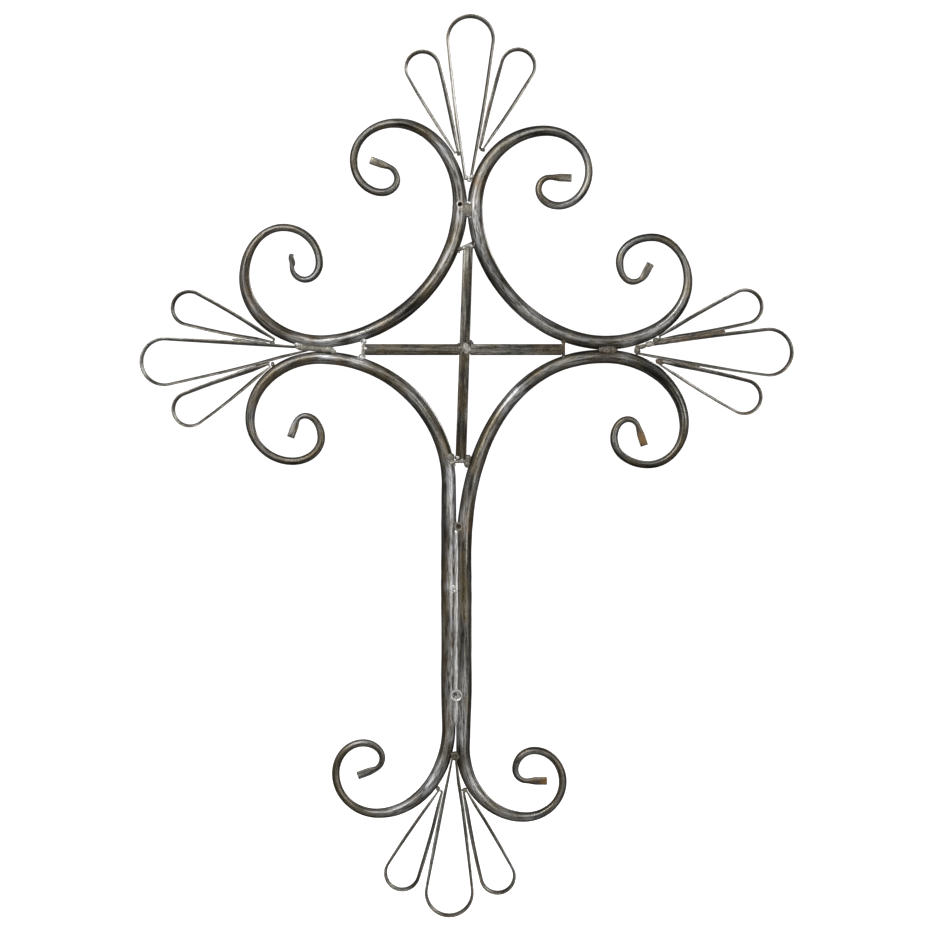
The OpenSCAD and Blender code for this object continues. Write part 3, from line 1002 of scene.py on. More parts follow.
class FramePiece(PieceMaker):
    """A piece that keeps its CAD node's shape, with eased edges."""

    def build(self, node: str, finish: IronFinish, slot: str, ease: float, way: Vector,
              wear: Wear, parts: int = 2,
              shape: Callable[[bmesh.types.BMesh], None] | None = None) -> bpy.types.Object:
        """Copies a node's mesh, merges it and eases its edges.

        Args:
            node: The CAD node.
            finish: Its finish.
            slot: The record's material slot.
            ease: Radius of the eased edges in millimetres.
            way: Direction in which the iron runs.
            wear: Marks from a point and its normal.
            parts: Segments of each eased edge.
            shape: Bends the merged mesh before its edges are eased.

        Returns:
            The finished piece.
        """
        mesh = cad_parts[node].data.copy()
        mesh.name = node + "_iron"
        piece = bpy.data.objects.new(node + "_iron", mesh)
        bpy.context.scene.collection.objects.link(piece)
        work = bmesh.new()
        work.from_mesh(mesh)
        bmesh.ops.remove_doubles(work, verts=work.verts[:], dist=1e-6)
        bmesh.ops.dissolve_limit(work, angle_limit=math.radians(1), verts=work.verts[:],
                                 edges=work.edges[:])
        if shape:
            shape(work)
        sharp = [e for e in work.edges if len(e.link_faces) == 2
                 and e.calc_face_angle(0) > math.radians(40)]
        bmesh.ops.bevel(work, geom=sharp, offset=ease * MM, offset_type="OFFSET",
                        segments=parts, profile=0.6, affect="EDGES", clamp_overlap=True)
        bmesh.ops.triangulate(work, faces=[f for f in work.faces if len(f.verts) > 4])
        bmesh.ops.recalc_face_normals(work, faces=work.faces[:])
        work.to_mesh(mesh)
        work.free()
        axis = way.normalized()
        side = axis.cross(Vector((0, 1, 0))).normalized()
        self.skin(piece, lambda p: Vector((p.dot(side), p.y, p.dot(axis) + 0.37 * len(node))),
                  wear)
        return self.finish(piece, finish, slot, [node], smooth=35)


@dataclass(frozen=True)
class Bead:
    """A lump of weld metal, in millimetres: its middle, half sizes and tilt in degrees."""

    x: float
    y: float
    z: float
    half_x: float
    half_y: float
    half_z: float
    tilt: float = 0.0
    rough: float = 0.22


class WeldMaker(PieceMaker):
    """Weld beads, bosses and the seam."""

    rim_height = 0.9
    boss_depth = 6
    run_depth = 1.5  # half a run's thickness
    run_sides = 14
    ripple = 0.1
    ripple_pitch = 3.1
    rim_from, rim_turn, rim_steps, rim_sides = 28, 304, 48, 10

    def beads(self, name: str, rows: Sequence[Sequence[float]], finish: IronFinish, seed: float,
              marks: tuple[float, float, float] = (0.3, 0.2, 0.0)) -> bpy.types.Object:
        """One or more lumps in one piece.

        Args:
            name: The piece's name.
            rows: A bead's numbers for each lump, in the order of Bead.
            finish: Their finish.
            seed: Start of their noise.
            marks: Ground, scorched and rusty; the scorch is kept to the flanks that face
                sideways, so it is heat tint and painted shade on the bead's sides.

        Returns:
            The finished piece.
        """
        work = bmesh.new()
        for n, bead in enumerate(Bead(*row) for row in rows):
            before = len(work.verts)
            bmesh.ops.create_icosphere(work, subdivisions=4, radius=1)
            work.verts.ensure_lookup_table()
            turn = Euler((0, math.radians(-bead.tilt), 0))
            for v in work.verts[before:]:
                p = v.co.normalized()
                lump = noise.noise(p * 2.1 + Vector((seed, n * 3.1, 0)))
                crust = noise.noise(p * 5.5 + Vector((n, seed * 2, 4)))
                r = 1 - bead.rough * (0.5 - 0.8 * lump) + bead.rough * 0.35 * crust
                q = Vector((p.x * bead.half_x, p.y * bead.half_y, p.z * bead.half_z)) * r
                q.rotate(turn)
                v.co = (q + Vector((bead.x, bead.y, bead.z))) * MM
        mesh = bpy.data.meshes.new(name)
        work.to_mesh(mesh)
        work.free()
        piece = bpy.data.objects.new(name, mesh)
        bpy.context.scene.collection.objects.link(piece)
        self.outward(piece)
        # The scorch layer fades on faces towards the front and back: painted shade on the bead's
        # side flanks.
        self.skin(piece, lambda p: p + Vector((seed, 0, 0)),
                  lambda p, n: [marks[0], marks[1] * (1 - abs(n.y)), marks[2]])
        return self.finish(piece, finish, "bar_iron", smooth=80)

    def boss(self, name: str, x: float, y: float, z: float, radius: float,
             crater: tuple[float, float, float], finish: IronFinish,
             seed: float) -> bpy.types.Object:
        """A round weld boss with a raised rim and an off-centre crater, facing the front.

        Args:
            name: The piece's name.
            x: Middle across, in millimetres.
            y: Front of its rim.
            z: Its height.
            radius: Outside radius.
            crater: The crater's offset across, radius and depth.
            finish: Its finish.
            seed: Start of its noise.

        Returns:
            The finished boss.
        """
        sides, rows = 40, 14
        rings = []
        for j in range(rows + 1):
            share = 1 - j / (rows + 0.6)
            ring = []
            for k in range(sides):
                t = math.tau * k / sides
                wob = 1 + 0.07 * noise.noise(Vector((math.cos(t), math.sin(t), seed)))
                px, pz = radius * share * wob * math.cos(t), radius * share * wob * math.sin(t)
                rim = math.exp(-((share - 0.8) / 0.13) ** 2)
                drop = 3.2 * max(0.0, (share - 0.86) / 0.14) ** 2
                inner = math.hypot(px - crater[0], pz) / crater[1]
                pit = crater[2] * max(0.0, 1 - inner ** 2) if inner < 1 else 0.0
                h = self.rim_height * rim - drop - pit + 0.18 * noise.noise(
                    Vector((px / 2, pz / 2, seed + 3)))
                ring.append(Vector((x + px, y + self.rim_height - h, z + pz)) * MM)
            rings.append(ring)
        back = [Vector((p.x, (y + self.boss_depth) * MM, p.z)) for p in rings[0]]
        piece = self.from_rings(name, [back] + rings)
        dark = crater[1] * 0.95

        def wear(p: Vector, n: Vector) -> list[float]:
            """Ground rim and burnt crater."""
            px, pz = p.x / MM - x, p.z / MM - z
            deep = math.hypot(px - crater[0], pz) < dark
            edge = math.hypot(px, pz) / radius
            return [0.1 if deep else 0.9 * (edge > 0.62), 1.0 if deep else 0.1, 0.1 * deep]

        self.skin(piece, lambda p: p + Vector((seed, 0, 0)), wear)
        return self.finish(piece, finish, "bar_iron", smooth=60)

    def rim(self, name: str, x: float, y: float, z: float, outer: float, inner: float,
            finish: IronFinish, seed: float) -> bpy.types.Object:
        """A raised burr round a hole, open a little at its right.

        Args:
            name: The piece's name.
            x: Middle across, in millimetres.
            y: Front of the bar there.
            z: Its height.
            outer: Outside radius.
            inner: Inside radius.
            finish: Its finish.
            seed: Start of its noise.

        Returns:
            The finished rim.
        """
        rings = []
        for i in range(self.rim_steps + 1):
            a = math.radians(self.rim_from + self.rim_turn * i / self.rim_steps)
            swell = math.sin(math.pi * i / self.rim_steps) ** 0.4
            thick = (outer - inner) / 2 * (0.35 + 0.65 * swell)
            thick *= 1 + 0.2 * noise.noise(Vector((a * 2, seed, 0)))
            middle = (outer + inner) / 2
            ring = []
            for k in range(self.rim_sides):
                t = math.tau * k / self.rim_sides
                r = middle + thick * math.cos(t)
                ring.append(Vector((x + r * math.cos(a), y + 0.55 * thick * math.sin(t),
                                    z + r * math.sin(a))) * MM)
            rings.append(ring)
        piece = self.from_rings(name, rings)
        self.skin(piece, lambda p: p + Vector((seed, 0, 0)), lambda p, n: [0.7, 0.0, 0.1])
        return self.finish(piece, finish, "bar_iron", smooth=60)

    def fill(self, name: str, start: Point, end: Point, y: float, half: float,
             finish: IronFinish, seed: float, side: int = -1,
             marks: tuple[float, float] = (0.25, 1.0), rust: float = 0.0) -> bpy.types.Object:
        """A rippled run of weld metal between two pieces.

        Args:
            name: The piece's name.
            start: Its first end across and up, in millimetres.
            end: Its other end.
            y: How far its face stands from the bars' middle plane.
            half: Half its width.
            finish: Its finish.
            seed: Start of its noise.
            side: -1 for the front, 1 for the back.
            marks: Least and most of the ground mark.
            rust: Rust on it.

        Returns:
            The finished run.
        """
        way = Vector((end[0] - start[0], end[1] - start[1]))
        length = way.length
        way.normalize()
        count = max(6, round(length / 0.9))
        rings = []
        for i in range(count + 1):
            run = length * i / count
            taper = min(1.0, 0.3 + min(i, count - i) / 8)
            waves = math.pi * (run + 0.7 * math.sin(run / 9)) / self.ripple_pitch
            ripple = self.ripple * abs(math.sin(waves))
            wide = half * taper * (1 + 0.18 * noise.noise(Vector((run / 7, seed, 0))))
            shift = 0.2 * half * noise.noise(Vector((run / 23, seed, 5)))
            face = y * (1 + 0.03 * noise.noise(Vector((run / 11, seed, 9)))) - 1.2 * (1 - taper)
            ring = []
            for k in range(self.run_sides):
                t = math.tau * k / self.run_sides
                u = shift + wide * math.cos(t)
                v = (face - self.run_depth) + (self.run_depth + ripple * taper) * math.sin(t)
                ring.append(Vector((start[0] + way.x * run + way.y * u, side * v,
                                    start[1] + way.y * run - way.x * u)) * MM)
            rings.append(ring)
        piece = self.from_rings(name, rings)
        low, high = marks

        def wear(p: Vector, n: Vector) -> list[float]:
            """Ground in patches along the run."""
            run = (p.x * way.x + p.z * way.y) / MM
            grey = 0.5 + 0.5 * noise.noise(Vector((run / 26, seed, 2)))
            return [low + (high - low) * grey, 0.1 + 0.5 * max(0.0, 0.35 - grey), rust]

        self.skin(piece, lambda p: Vector((p.x, p.y, p.z)), wear)
        return self.finish(piece, finish, "bar_iron", smooth=70)


# ---- The cross ------------------------------------------------------------------------------


@dataclass
class WallCross:
    """The whole cross, sub-assembly by sub-assembly."""

    painter: IronPainter = field(default_factory=IronPainter)
    routes: RouteMaker = field(default_factory=RouteMaker)
    petal_depth = 9
    joints = {"top": (9, 24), "left": (-156, -152), "right": (183, -153), "foot": (-6, -577)}

    def round_bars(self) -> None:
        """The four round bars."""
        s, r = SIZES, self.routes
        bars = RoundBar(self.painter)
        upper_left = Bay((0, 0), (-s.left_arm, s.arm_z + s.left_spread), 1.9,
                         (s.head_d, s.upper_bay_d, s.left_wrist_d))
        upper_right = Bay((s.head_x, -s.head_step), (s.right_arm, s.arm_z + s.right_spread), 1.9,
                          (s.head_d, s.upper_bay_d, s.right_wrist_d))
        lower_left = Bay((s.left_bar_x, s.arm_z - s.left_shoulder),
                         (-s.left_arm, s.arm_z - s.left_spread), 2.0,
                         (s.left_shoulder_d, s.lower_bay_d, s.left_wrist_d))
        lower_right = Bay((s.right_bar_x, s.arm_z - s.right_shoulder),
                          (s.right_arm, s.arm_z - s.right_spread), 2.2,
                          (s.shaft_d, s.lower_bay_d, s.right_wrist_d))
        head_left = Scroll((0, 0), 90, 1, (86, 44, 34, 16), (68, 39, 30, 14), (14, 70, 20),
                           s.head_d)
        head_right = Scroll((s.head_x, -s.head_step), 90, -1, (81, 46, 37, 21),
                            (74, 42, 32, 18), (12, 92, 22), s.head_d)
        left_upper = Scroll(upper_left.arm, 180, -1, (80, 51, 38, 18), (69, 41, 37, 15),
                            (14, 88, 13), s.left_wrist_d, edge_on=True)
        left_lower = Scroll(lower_left.arm, 180, 1, (74, 44, 30, 23), (65, 45, 25, 17),
                            (10, 70, 17), s.left_wrist_d)
        right_upper = Scroll(upper_right.arm, 0, 1, (87, 45, 34, 21), (66, 38, 26, 14),
                             (14, 62, 13), s.right_wrist_d)
        right_lower = Scroll(lower_right.arm, 0, -1, (83, 42, 36, 20), (72, 38, 28, 15),
                             (11, 72, 21), s.right_wrist_d)
        foot_left = Scroll((s.left_bar_x, s.left_foot_z), -90, -1, (91, 44, 32, 20),
                           (75, 42, 29, 16), (13, 70, 18), s.foot_d)
        foot_right = Scroll((s.right_foot_offset, s.right_foot_z), -90, 1, (72, 40, 33, 20),
                            (65, 37, 30, 20), (12, 90, 21), s.foot_d)
        left_shaft = r.straight([
            (s.left_bar_x, s.left_foot_z, s.foot_d), (s.left_bar_x, s.seam_foot, s.shaft_d),
            (s.left_bar_x, s.seam_top, s.shaft_d),
            (s.left_bar_x, s.arm_z - s.left_shoulder, s.left_shoulder_d)])
        right_shaft = r.straight([
            (s.right_foot_offset, s.right_foot_z, s.foot_d),
            (s.right_bar_x, s.seam_foot, s.shaft_d),
            (s.right_bar_x, s.arm_z - s.right_shoulder, s.shaft_d)])
        for name, stretches, seed, hole in (
            ("upper_left", (r.scroll(head_left)[::-1], r.bay(upper_left), r.scroll(left_upper)),
             1.7, s.hole_d),
            ("upper_right", (r.scroll(head_right)[::-1], r.bay(upper_right),
                             r.scroll(right_upper)), 4.1, 0.0),
            ("lower_left", (r.scroll(foot_left)[::-1], left_shaft, r.bay(lower_left),
                            r.scroll(left_lower)), 6.3, 0.0),
            ("lower_right", (r.scroll(foot_right)[::-1], right_shaft, r.bay(lower_right),
                             r.scroll(right_lower)), 8.9, 0.0),
        ):
            bars.build(name + "_scroll_iron", self._chain(*stretches), ForgedSkin(seed=seed),
                       hole)

    @staticmethod
    def _chain(*parts: list[Station]) -> list[Station]:
        """Stretches of a bar joined end to end, each shared station kept once.

        Args:
            *parts: The stretches.

        Returns:
            All the stations.
        """
        made = list(parts[0])
        for part in parts[1:]:
            made += part[1:]
        return made

    def small_cross(self) -> None:
        """The square bars and the four straps."""
        maker = FramePiece(self.painter)

        def worn(p: Vector, n: Vector) -> list[float]:
            """Ground in patches and along the edges, with painted shade on the faces that turn
            away from the front.
            """
            rub = noise.noise(Vector((p.x * 30, p.z * 14, 2)))
            edge = 1 - max(abs(n.x), abs(n.y), abs(n.z))
            # Painted shade: faces not towards the front or back take a little scorch.
            return [min(1.0, max(0.0, 0.2 + rub) * 0.5 + 1.6 * edge), 0.15 * (abs(n.y) < 0.5), 0]

        for node, way in (("cross_upright", Vector((0.034, 0, 1))),
                          ("cross_left_arm", Vector((1, 0, 0))),
                          ("cross_right_arm", Vector((1, 0, 0)))):
            maker.build(node, SQUARE, "square_iron", 0.9, way, worn, 3)
        for node, rub, burn in (("top_tie", 0.25, 0.6), ("left_tie", 0.9, 0.1),
                                ("right_tie", 0.1, 0.7), ("foot_tie", 0.6, 0.3)):
            maker.build(node, STRAP, "strap_iron", 0.5, Vector((0, 0, 1)),
                        lambda p, n, a=rub, b=burn: [a, b, 0.15])

    def petals(self) -> None:
        """The twelve petals."""
        maker = FramePiece(self.painter)
        ways = {"top": Vector((0, 0, 1)), "left": Vector((-1, 0, 0)),
                "right": Vector((1, 0, 0)), "foot": Vector((0, 0, -1))}
        leans = {"centre": 0, "left": 24, "right": -24, "upper": -24, "lower": 24}
        for node in sorted(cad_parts):
            if "_petal_" not in node:
                continue
            fan, kind = node.split("_petal_")
            lean = leans[kind] * (-1 if fan in ("foot", "right") else 1)
            way = ways[fan].copy()
            way.rotate(Euler((0, math.radians(-lean), 0)))
            seed = sum(ord(c) for c in node) % 17

            def worn(p: Vector, n: Vector, seed: int = seed) -> list[float]:
                """Ground and rusty in patches, scorched near the joints."""
                q = Vector((p.x / 0.018, p.z / 0.018, seed))
                rub = noise.noise(q)
                rust = noise.noise(q * 0.8 + Vector((9, 3, seed)))
                base = marks_at(p.x / MM, p.z / MM)
                return [max(0.0, 0.35 + 0.9 * rub), 0.55 * base[1] + max(0.0, -rub) * 0.7,
                        max(0.0, rust * 0.8 - 0.12)]

            maker.build(node, STRIP, "petal_iron", 0.22, way, worn,
                        shape=lambda mesh, fan=fan, seed=seed: self.splay(mesh, fan, seed))

    def splay(self, mesh: bmesh.types.BMesh, fan: str, seed: int) -> None:
        """Leans a petal's strip so that its inner wall shows from the front.

        Args:
            mesh: The petal's merged mesh.
            fan: Which fan it is in.
            seed: Start of its unevenness.
        """
        joint = Vector((self.joints[fan][0], 0, self.joints[fan][1])) * MM
        flat = [Vector((v.co.x, 0, v.co.z)) for v in mesh.verts]
        near = min((p - joint).length for p in flat)
        base_points = [p for p in flat if (p - joint).length < near + 3 * MM]
        base = sum(base_points, Vector()) / len(base_points)
        far = max(flat, key=lambda p: (p - base).length)
        axis = (far - base).normalized()
        reach = (far - base).length
        across = axis.cross(Vector((0, 1, 0)))
        half = max(abs((p - base).dot(across)) for p in flat)
        for v, p in zip(mesh.verts, flat):
            t = max(0.0, min(reach - half, (p - base).dot(axis)))
            inward = base + axis * t - p
            room = inward.length
            if room < 1e-6:
                continue
            u = t / reach
            wave = noise.noise(Vector((p.x / 0.05, p.z / 0.05, seed)))
            lean = min(2.8 - 1.5 * u, 0.45 * room / MM) * (1 + 0.35 * wave)
            share = (v.co.y / MM + self.petal_depth / 2) / self.petal_depth
            v.co += inward.normalized() * lean * share * MM

    def welds(self) -> None:
        """Beads, bosses and runs of weld metal, joint by joint."""
        w = WeldMaker(self.painter)
        self.head_welds(w)
        self.arm_welds(w)
        self.small_cross_welds(w)
        self.shaft_welds(w)

    def head_welds(self, w: WeldMaker) -> None:
        """Welds about the head joint and the top fan.

        Args:
            w: Makes the welds.
        """
        w.beads("weld_head_joint", [
            (7.9, -4.2, -5.5, 6.4, 3.5, 7.8, 6, 0.12), (4.6, -6.1, -6.0, 3.2, 1.5, 5.6),
            (11.8, -6.1, -4.6, 3.2, 1.5, 5.8),
            (8.6, -4.0, -11.6, 2.8, 2.6, 2.2, 15),
        ], SLAG, 1.3, (0.4, 0.3, 0.0))
        w.beads("weld_head_slag", [(10.4, -4.6, 1.4, 2.6, 1.9, 1.6, -20),
                                   (8.0, -4.2, 2.4, 1.6, 1.5, 1.2, 30),
                                   (11.4, -5.2, -13.2, 2.2, 1.4, 0.9, 25)], WELD, 2.2,
                (0.9, 0, 0))
        w.beads("weld_head_back", [(7.9, 4.6, -6, 4.0, 2.6, 6.5, 5)], SLAG, 3.7)
        w.rim("hole_rim", 0, -7.3, 0, 3.9, 2.3, SEAM, 2.9)
        w.beads("weld_top_centre", [
            (6.6, -2.6, 28.6, 2.6, 2.8, 2.4, 20), (12.2, -2.6, 29.4, 2.8, 2.6, 2.2),
            (9.6, -2.8, 25.6, 2.8, 2.4, 2.2, -10)], WELD, 4.4, (0.7, 0.2, 0.1))
        w.beads("weld_top_left", [(-0.6, -1.5, 53.8, 3.2, 4.2, 2.3, 35)], SLAG, 5.1)
        w.beads("weld_top_right", [(24.0, -1.5, 57.6, 3.0, 4.2, 2.0, -10)], SLAG, 5.9)
        w.fill("weld_top_strands", (22.6, 62), (31.5, 108), 3.6, 1.5, STRIP, 6.6,
               marks=(0.2, 0.8))

    def arm_welds(self, w: WeldMaker) -> None:
        """Welds where the bars of each arm meet and about its fan.

        Args:
            w: Makes the welds.
        """
        arm = SIZES.arm_z
        w.fill("weld_left_joint", (-173, arm + 2.2), (-134, arm - 0.4), 5.3, 3.0, SLAG, 7.1,
               marks=(0.2, 0.7))
        w.beads("weld_left_arm", [
            (-138.5, -4.0, arm + 0.2, 6.4, 3.2, 3.4, 6),
            (-133.5, -3.6, arm - 2.0, 4.0, 2.8, 2.8, -20),
            (-145, -3.2, arm - 0.6, 4.0, 2.4, 2.4)], SLAG, 7.7, (0.8, 0.25, 0.0))
        w.beads("weld_left_centre", [
            (-169, -3.2, arm + 4.6, 6.2, 2.8, 3.0, -12),
            (-160, -3.0, arm + 1.6, 5.0, 2.4, 2.2, -8)], WELD, 8.3, (0.3, 0.5, 0.1))
        w.beads("weld_left_back", [(-141, 3.4, arm, 7, 2.4, 2.8)], SLAG, 8.8)
        w.beads("weld_left_upper", [(-197.5, -1.5, -146, 3.0, 4.2, 2.0, 20)], SLAG, 9.2)
        w.beads("weld_left_lower", [(-197, -1.5, -168, 2.2, 4.2, 3.0, 10)], SLAG, 9.9)
        w.fill("weld_left_upper_strands", (-200, -147), (-240, -141.5), 3.6, 1.7, STRIP, 10.4,
               marks=(0.4, 1.0))
        w.fill("weld_left_lower_strands", (-200, -166), (-238, -178.5), 3.6, 1.7, STRIP, 10.9,
               marks=(0.2, 0.8), rust=0.2)
        w.beads("weld_right_arm", [
            (155.3, -4.2, arm - 0.2, 10.5, 3.5, 5.6, 2),
            (149, -3.8, arm, 4.2, 3.0, 3.2), (162, -3.8, arm, 4.2, 3.0, 3.0)],
            SLAG, 11.3, (0.12, 0.8, 0.05))
        w.beads("weld_right_back", [(154, 3.8, arm, 8, 2.6, 3.0)], SLAG, 11.9)
        w.beads("weld_right_centre", [
            (186.4, -2.2, arm - 0.8, 3.6, 5.0, 5.4),
            (192, -2.4, arm + 3.0, 4.6, 3.4, 2.6, 15)], SLAG, 12.4)
        w.beads("weld_right_upper", [
            (206.6, -2.0, -143.2, 4.2, 4.8, 3.8, 20)], SLAG, 12.9, (0.2, 0.5, 0.3))
        w.beads("weld_right_upper_bright", [
            (199.6, -3.2, -146.6, 5.6, 3.4, 3.4, 12)], SLAG, 13.1, (0.9, 0.35, 0.1))
        w.beads("weld_right_lower", [
            (210.2, -2.0, -165.4, 5.2, 4.8, 3.4, -20)], SLAG, 13.8, (0.2, 0.3, 0.4))
        w.fill("weld_right_upper_strands", (205, -146.2), (279, -133.2), 4.0, 2.9, SLAG, 14.2,
               marks=(0.0, 0.15), rust=0.45)
        w.fill("weld_right_lower_strands", (212, -163.4), (252, -170.8), 3.9, 2.0, STRIP, 14.9,
               marks=(0.4, 1.0), rust=0.15)

    def small_cross_welds(self, w: WeldMaker) -> None:
        """Welds of the small cross and its straps.

        Args:
            w: Makes the welds.
        """
        arm = SIZES.arm_z
        w.beads("weld_crossing", [
            (-1.1, 0, arm, 1.1, 5.75, 5.5, -2, 0.06),
            (11.1, 0, arm, 1.1, 5.75, 5.5, -2, 0.06),
            (5.4, -5.3, arm + 0.6, 7.6, 0.7, 5.6, 10, 0.16),
            (11.8, -1.6, arm + 7.0, 2.6, 3.8, 4.0, 35),
            (-1.4, -1.6, arm + 5.8, 1.5, 3.4, 1.3, -30)], SQUARE, 15.3, (0.25, 0.15, 0.0))
        w.beads("weld_crossing_smear", [
            (6.8, -5.6, arm + 1.2, 4.4, 0.5, 7.6, 12, 0.3)], STRIP, 15.9, (0.8, 0.0, 0.0))
        w.beads("weld_top_tie_bright", [
            (4.2, -1.8, -45.4, 3.0, 5.2, 2.8, 10), (8.4, -1.8, -43.6, 3.4, 5.4, 2.9),
            (12.2, -1.8, -43.6, 2.6, 5.2, 3.0, 30),
            (-1.2, -2.6, -50.2, 1.6, 2.2, 1.2, 20)], WELD, 16.1, (0.4, 0.3, 0.1))
        w.beads("weld_top_tie_dark", [
            (-0.4, -1.4, -46.6, 3.8, 4.8, 2.6, 10),
            (15.8, -1.5, -41.8, 2.3, 4.8, 5.2, -28),
            (18.4, -2.4, -48.5, 1.5, 2.4, 4.0, 25)], SLAG, 16.8)
        w.beads("weld_foot_tie_dark", [
            (-10.2, -2.9, -265.8, 5.2, 4.6, 5.0, 10),
            (-8.8, -2.7, -271.6, 4.6, 4.6, 4.4),
            (8.0, -2.7, -267.2, 4.4, 4.7, 4.8), (7.4, -2.4, -272.6, 3.8, 4.6, 4.4)],
            SLAG, 17.5, (0.4, 0.3, 0.08))
        w.beads("weld_foot_tie_bright", [
            (-2.4, -2.2, -266.0, 3.4, 4.8, 3.6), (2.2, -2.0, -268.0, 3.2, 4.6, 3.0),
            (-5.4, -4.2, -274.2, 1.4, 1.6, 1.2)], WELD, 18.1, (0.4, 0.1, 0.18))
        w.boss("foot_tie_mark_upper", -11.4, -7.5, -264.6, 2.1, (0, 0.9, 1.2), WELD, 18.8)
        w.boss("foot_tie_mark_lower", -8.4, -7.5, -270.4, 2.0, (0, 0.8, 1.2), WELD, 19.2)
        w.beads("weld_left_tie", [
            (-101.4, -2.4, -143.6, 3.6, 4.2, 3.4), (-103, -2.4, -160.2, 4.2, 4.4, 3.6),
            (-99.2, -1.4, arm + 0.6, 2.9, 5.2, 5.6),
            (-106.5, -3.2, -162, 2.2, 2.4, 1.8)], WELD, 19.7, (0.5, 0.15, 0.0))
        w.beads("weld_right_tie", [
            (109, -2.4, -143.6, 3.0, 3.8, 2.8), (109, -2.4, -161.2, 3.2, 3.8, 2.8),
            (106.4, -1.6, arm - 0.6, 1.8, 4.6, 5.2)], SLAG, 20.4, (0.15, 0.5, 0.15))

    def shaft_welds(self, w: WeldMaker) -> None:
        """Seam, knobs and the lower ring of the shaft, and the foot fan's welds.

        Args:
            w: Makes the welds.
        """
        s = SIZES
        joint = (s.left_bar_x + s.right_bar_x) / 2
        w.fill("weld_seam_front", (joint, s.seam_top - 1), (joint - 0.4, s.seam_foot - 35), 5.6,
               2.3, SEAM, 3.0)
        w.fill("weld_seam_back", (joint, s.seam_top - 30), (joint, s.seam_foot + 30), 4.6, 1.8,
               SEAM, 8.0, side=1)
        w.boss("weld_knob", -1.6, -7.5, -338.6, 4.9, (0.2, 1.9, 1.3), SLAG, 21.2)
        w.beads("weld_knob_tail", [
            (2.6, -6.0, -343, 3.6, 1.7, 1.7, -38), (-6, -6.0, -335, 2.2, 1.6, 1.4, 30),
            (-1.4, -4.4, -343.5, 2.0, 2.0, 2.4)], SLAG, 21.9)
        w.beads("weld_shaft_beads", [
            (-6.6, -5.9, -402, 2.2, 1.3, 2.6, 20),
            (-5.0, -5.7, -406.6, 2.4, 1.3, 1.9, -20),
            (-8.2, -6.2, -408, 1.4, 1.0, 1.6)], WELD, 22.6, (0.5, 0.3, 0.0))
        w.boss("weld_lower_ring", -3.7, -7.5, s.seam_foot - 2.6, 6.9, (-2.0, 2.9, 0.9), SEAM,
               23.3)
        w.beads("weld_foot_centre", [
            (-7.4, -2.8, -580.4, 2.4, 3.8, 5.2, 24),
            (-1.8, -2.8, -580.8, 2.4, 3.8, 5.0, -26),
            (-4.6, -2.8, -577.4, 4.4, 3.6, 2.6)], SLAG, 24.1, (0.1, 0.7, 0.05))
        w.beads("weld_foot_left", [(-23, -1.5, -614.6, 2.3, 4.2, 3.6, 8)], SLAG, 24.8)
        w.beads("weld_foot_right", [(4.6, -1.5, -615.4, 3.4, 4.2, 2.2, 20)], SLAG, 25.4)
        w.beads("upper_left_tip_leaf", [
            (-176.9, 0, -58.6, 3.4, 3.8, 7.4, 14, 0.1)],
            RUBBED, 25.9, (0.35, 0.3, 0.0))
        w.boss("upper_left_tip_eye", -178.2, -4.3, -55, 2.3, (0.2, 1.2, 1.2), RUBBED, 26.2)


@dataclass(frozen=True)
class Lamp:
    """A square light: its place from the cross's middle, its side and its power."""

    name: str
    place: tuple[float, float, float]
    side: float
    power: float


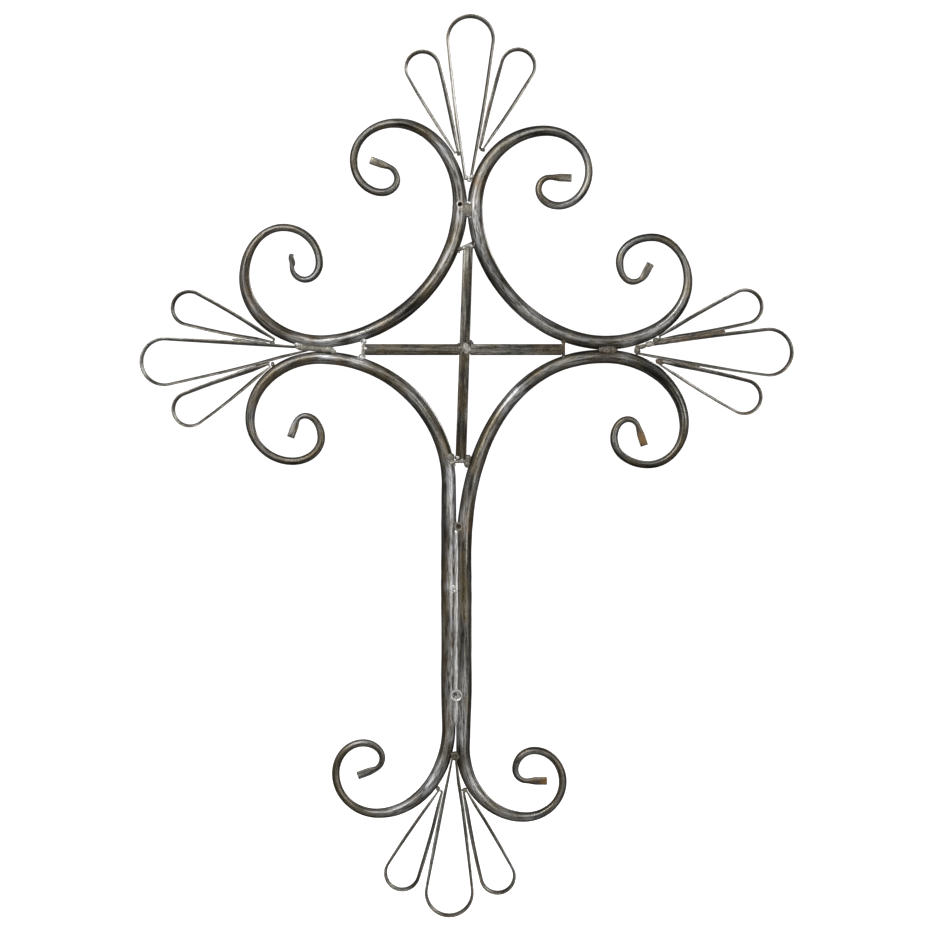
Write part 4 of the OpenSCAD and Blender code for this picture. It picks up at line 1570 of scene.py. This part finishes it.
@dataclass(frozen=True)
class Studio:
    """Floor, backdrop, lights, world and camera."""

    pale: float = 0.86
    glow: float = 0.72
    mirrored: float = 0.12
    floor_gap: float = 0.06
    floor_side: float = 14
    wall_back: float = 5
    wall_up: float = 6.9
    lamps: tuple[Lamp, ...] = (
        Lamp("key_light", (-1.0, -2.5, 1.3), 0.9, 56),
        Lamp("fill_light", (1.7, -2.4, 0.3), 0.9, 22),
        Lamp("low_light", (-0.5, -2.3, -1.4), 0.8, 20),
        Lamp("back_light", (1.7, 2.3, 1.2), 1.0, 34),
    )
    sky_seen: tuple[float, float] = (0.6, 0.4)
    camera_place: tuple[float, float, float] = (0.0158, -3.2, -0.2844)
    sensor: float = 36
    lens: float = 115.2
    clip: tuple[float, float] = (0.1, 60)

    def build(self) -> None:
        """Sets the whole studio about the cross."""
        lo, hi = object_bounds()
        middle = (lo + hi) / 2
        self._walls(middle, lo.z - self.floor_gap, self._white())
        self._lights(middle)
        self._world()
        self._camera()

    def _white(self) -> bpy.types.Material:
        """A white that glows to the camera and is dark in the iron's reflections."""
        white = bpy.data.materials.new("studio_white")
        white.use_nodes = True
        b = Bench(white.node_tree)
        path = b.node("ShaderNodeLightPath")
        pale = b.node("ShaderNodeBsdfDiffuse", {"Color": (self.pale, self.pale, self.pale, 1)})
        glow = b.node("ShaderNodeEmission", {"Color": (1, 1, 1, 1), "Strength": self.glow})
        both = b.node("ShaderNodeAddShader", {0: pale.outputs[0], 1: glow.outputs[0]})
        seen = b.node("ShaderNodeMixShader", {
            0: path.outputs["Is Camera Ray"], 1: pale.outputs[0], 2: both.outputs[0]})
        dark = b.node("ShaderNodeBsdfDiffuse", {
            "Color": (self.mirrored, self.mirrored, self.mirrored, 1)})
        kept = b.node("ShaderNodeMixShader", {
            0: path.outputs["Is Glossy Ray"], 1: seen.outputs[0], 2: dark.outputs[0]})
        b.node("ShaderNodeOutputMaterial", {"Surface": kept.outputs[0]})
        return white

    def _walls(self, middle: Vector, floor_z: float, white: bpy.types.Material) -> None:
        """The floor and the backdrop.

        Args:
            middle: Middle of the cross.
            floor_z: The floor's height.
            white: Their material.
        """
        bpy.ops.mesh.primitive_plane_add(size=self.floor_side, location=(middle.x, 0, floor_z))
        floor = bpy.context.active_object
        floor.name = "studio_floor"
        bpy.ops.mesh.primitive_plane_add(
            size=self.floor_side, location=(middle.x, self.wall_back, floor_z + self.wall_up),
            rotation=(math.pi / 2, 0, 0))
        wall = bpy.context.active_object
        wall.name = "studio_backdrop"
        for piece in (floor, wall):
            piece.data.materials.append(white)
        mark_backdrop(floor, wall)

    def _lights(self, middle: Vector) -> None:
        """The lamps, each facing the cross's middle.

        Args:
            middle: Middle of the cross.
        """
        for lamp in self.lamps:
            data = bpy.data.lights.new(lamp.name, "AREA")
            data.shape, data.size, data.energy = "SQUARE", lamp.side, lamp.power
            made = bpy.data.objects.new(lamp.name, data)
            bpy.context.scene.collection.objects.link(made)
            made.location = middle + Vector(lamp.place)
            made.rotation_euler = (middle - made.location).to_track_quat("-Z", "Y").to_euler()

    def _world(self) -> None:
        """An even sky, brighter to the camera."""
        world = bpy.data.worlds.new("studio_world")
        bpy.context.scene.world = world
        world.use_nodes = True
        b = Bench(world.node_tree)
        path = b.node("ShaderNodeLightPath")
        seen = b.node("ShaderNodeMath", {
            0: path.outputs["Is Camera Ray"], 1: self.sky_seen[0], 2: self.sky_seen[1]},
            operation="MULTIPLY_ADD")
        back = b.node("ShaderNodeBackground", {
            "Color": (1, 1, 1, 1), "Strength": seen.outputs[0]})
        b.node("ShaderNodeOutputWorld", {"Surface": back.outputs[0]})

    def _camera(self) -> None:
        """A long lens square on to the front."""
        scene = bpy.context.scene
        scene.view_settings.view_transform = "Standard"
        data = bpy.data.cameras.new("camera")
        data.sensor_width, data.lens = self.sensor, self.lens
        data.clip_start, data.clip_end = self.clip
        camera = bpy.data.objects.new("camera", data)
        scene.collection.objects.link(camera)
        camera.location = self.camera_place
        camera.rotation_euler = (math.pi / 2, 0, 0)
        scene.camera = camera


def main() -> None:
    """Builds the cross piece by piece and sets the studio about it."""
    logging.basicConfig(level=logging.INFO, format="%(message)s")
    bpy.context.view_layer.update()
    cross = WallCross()
    cross.round_bars()
    cross.small_cross()
    cross.petals()
    cross.welds()
    Studio().build()


if __name__ == "__main__":
    main()
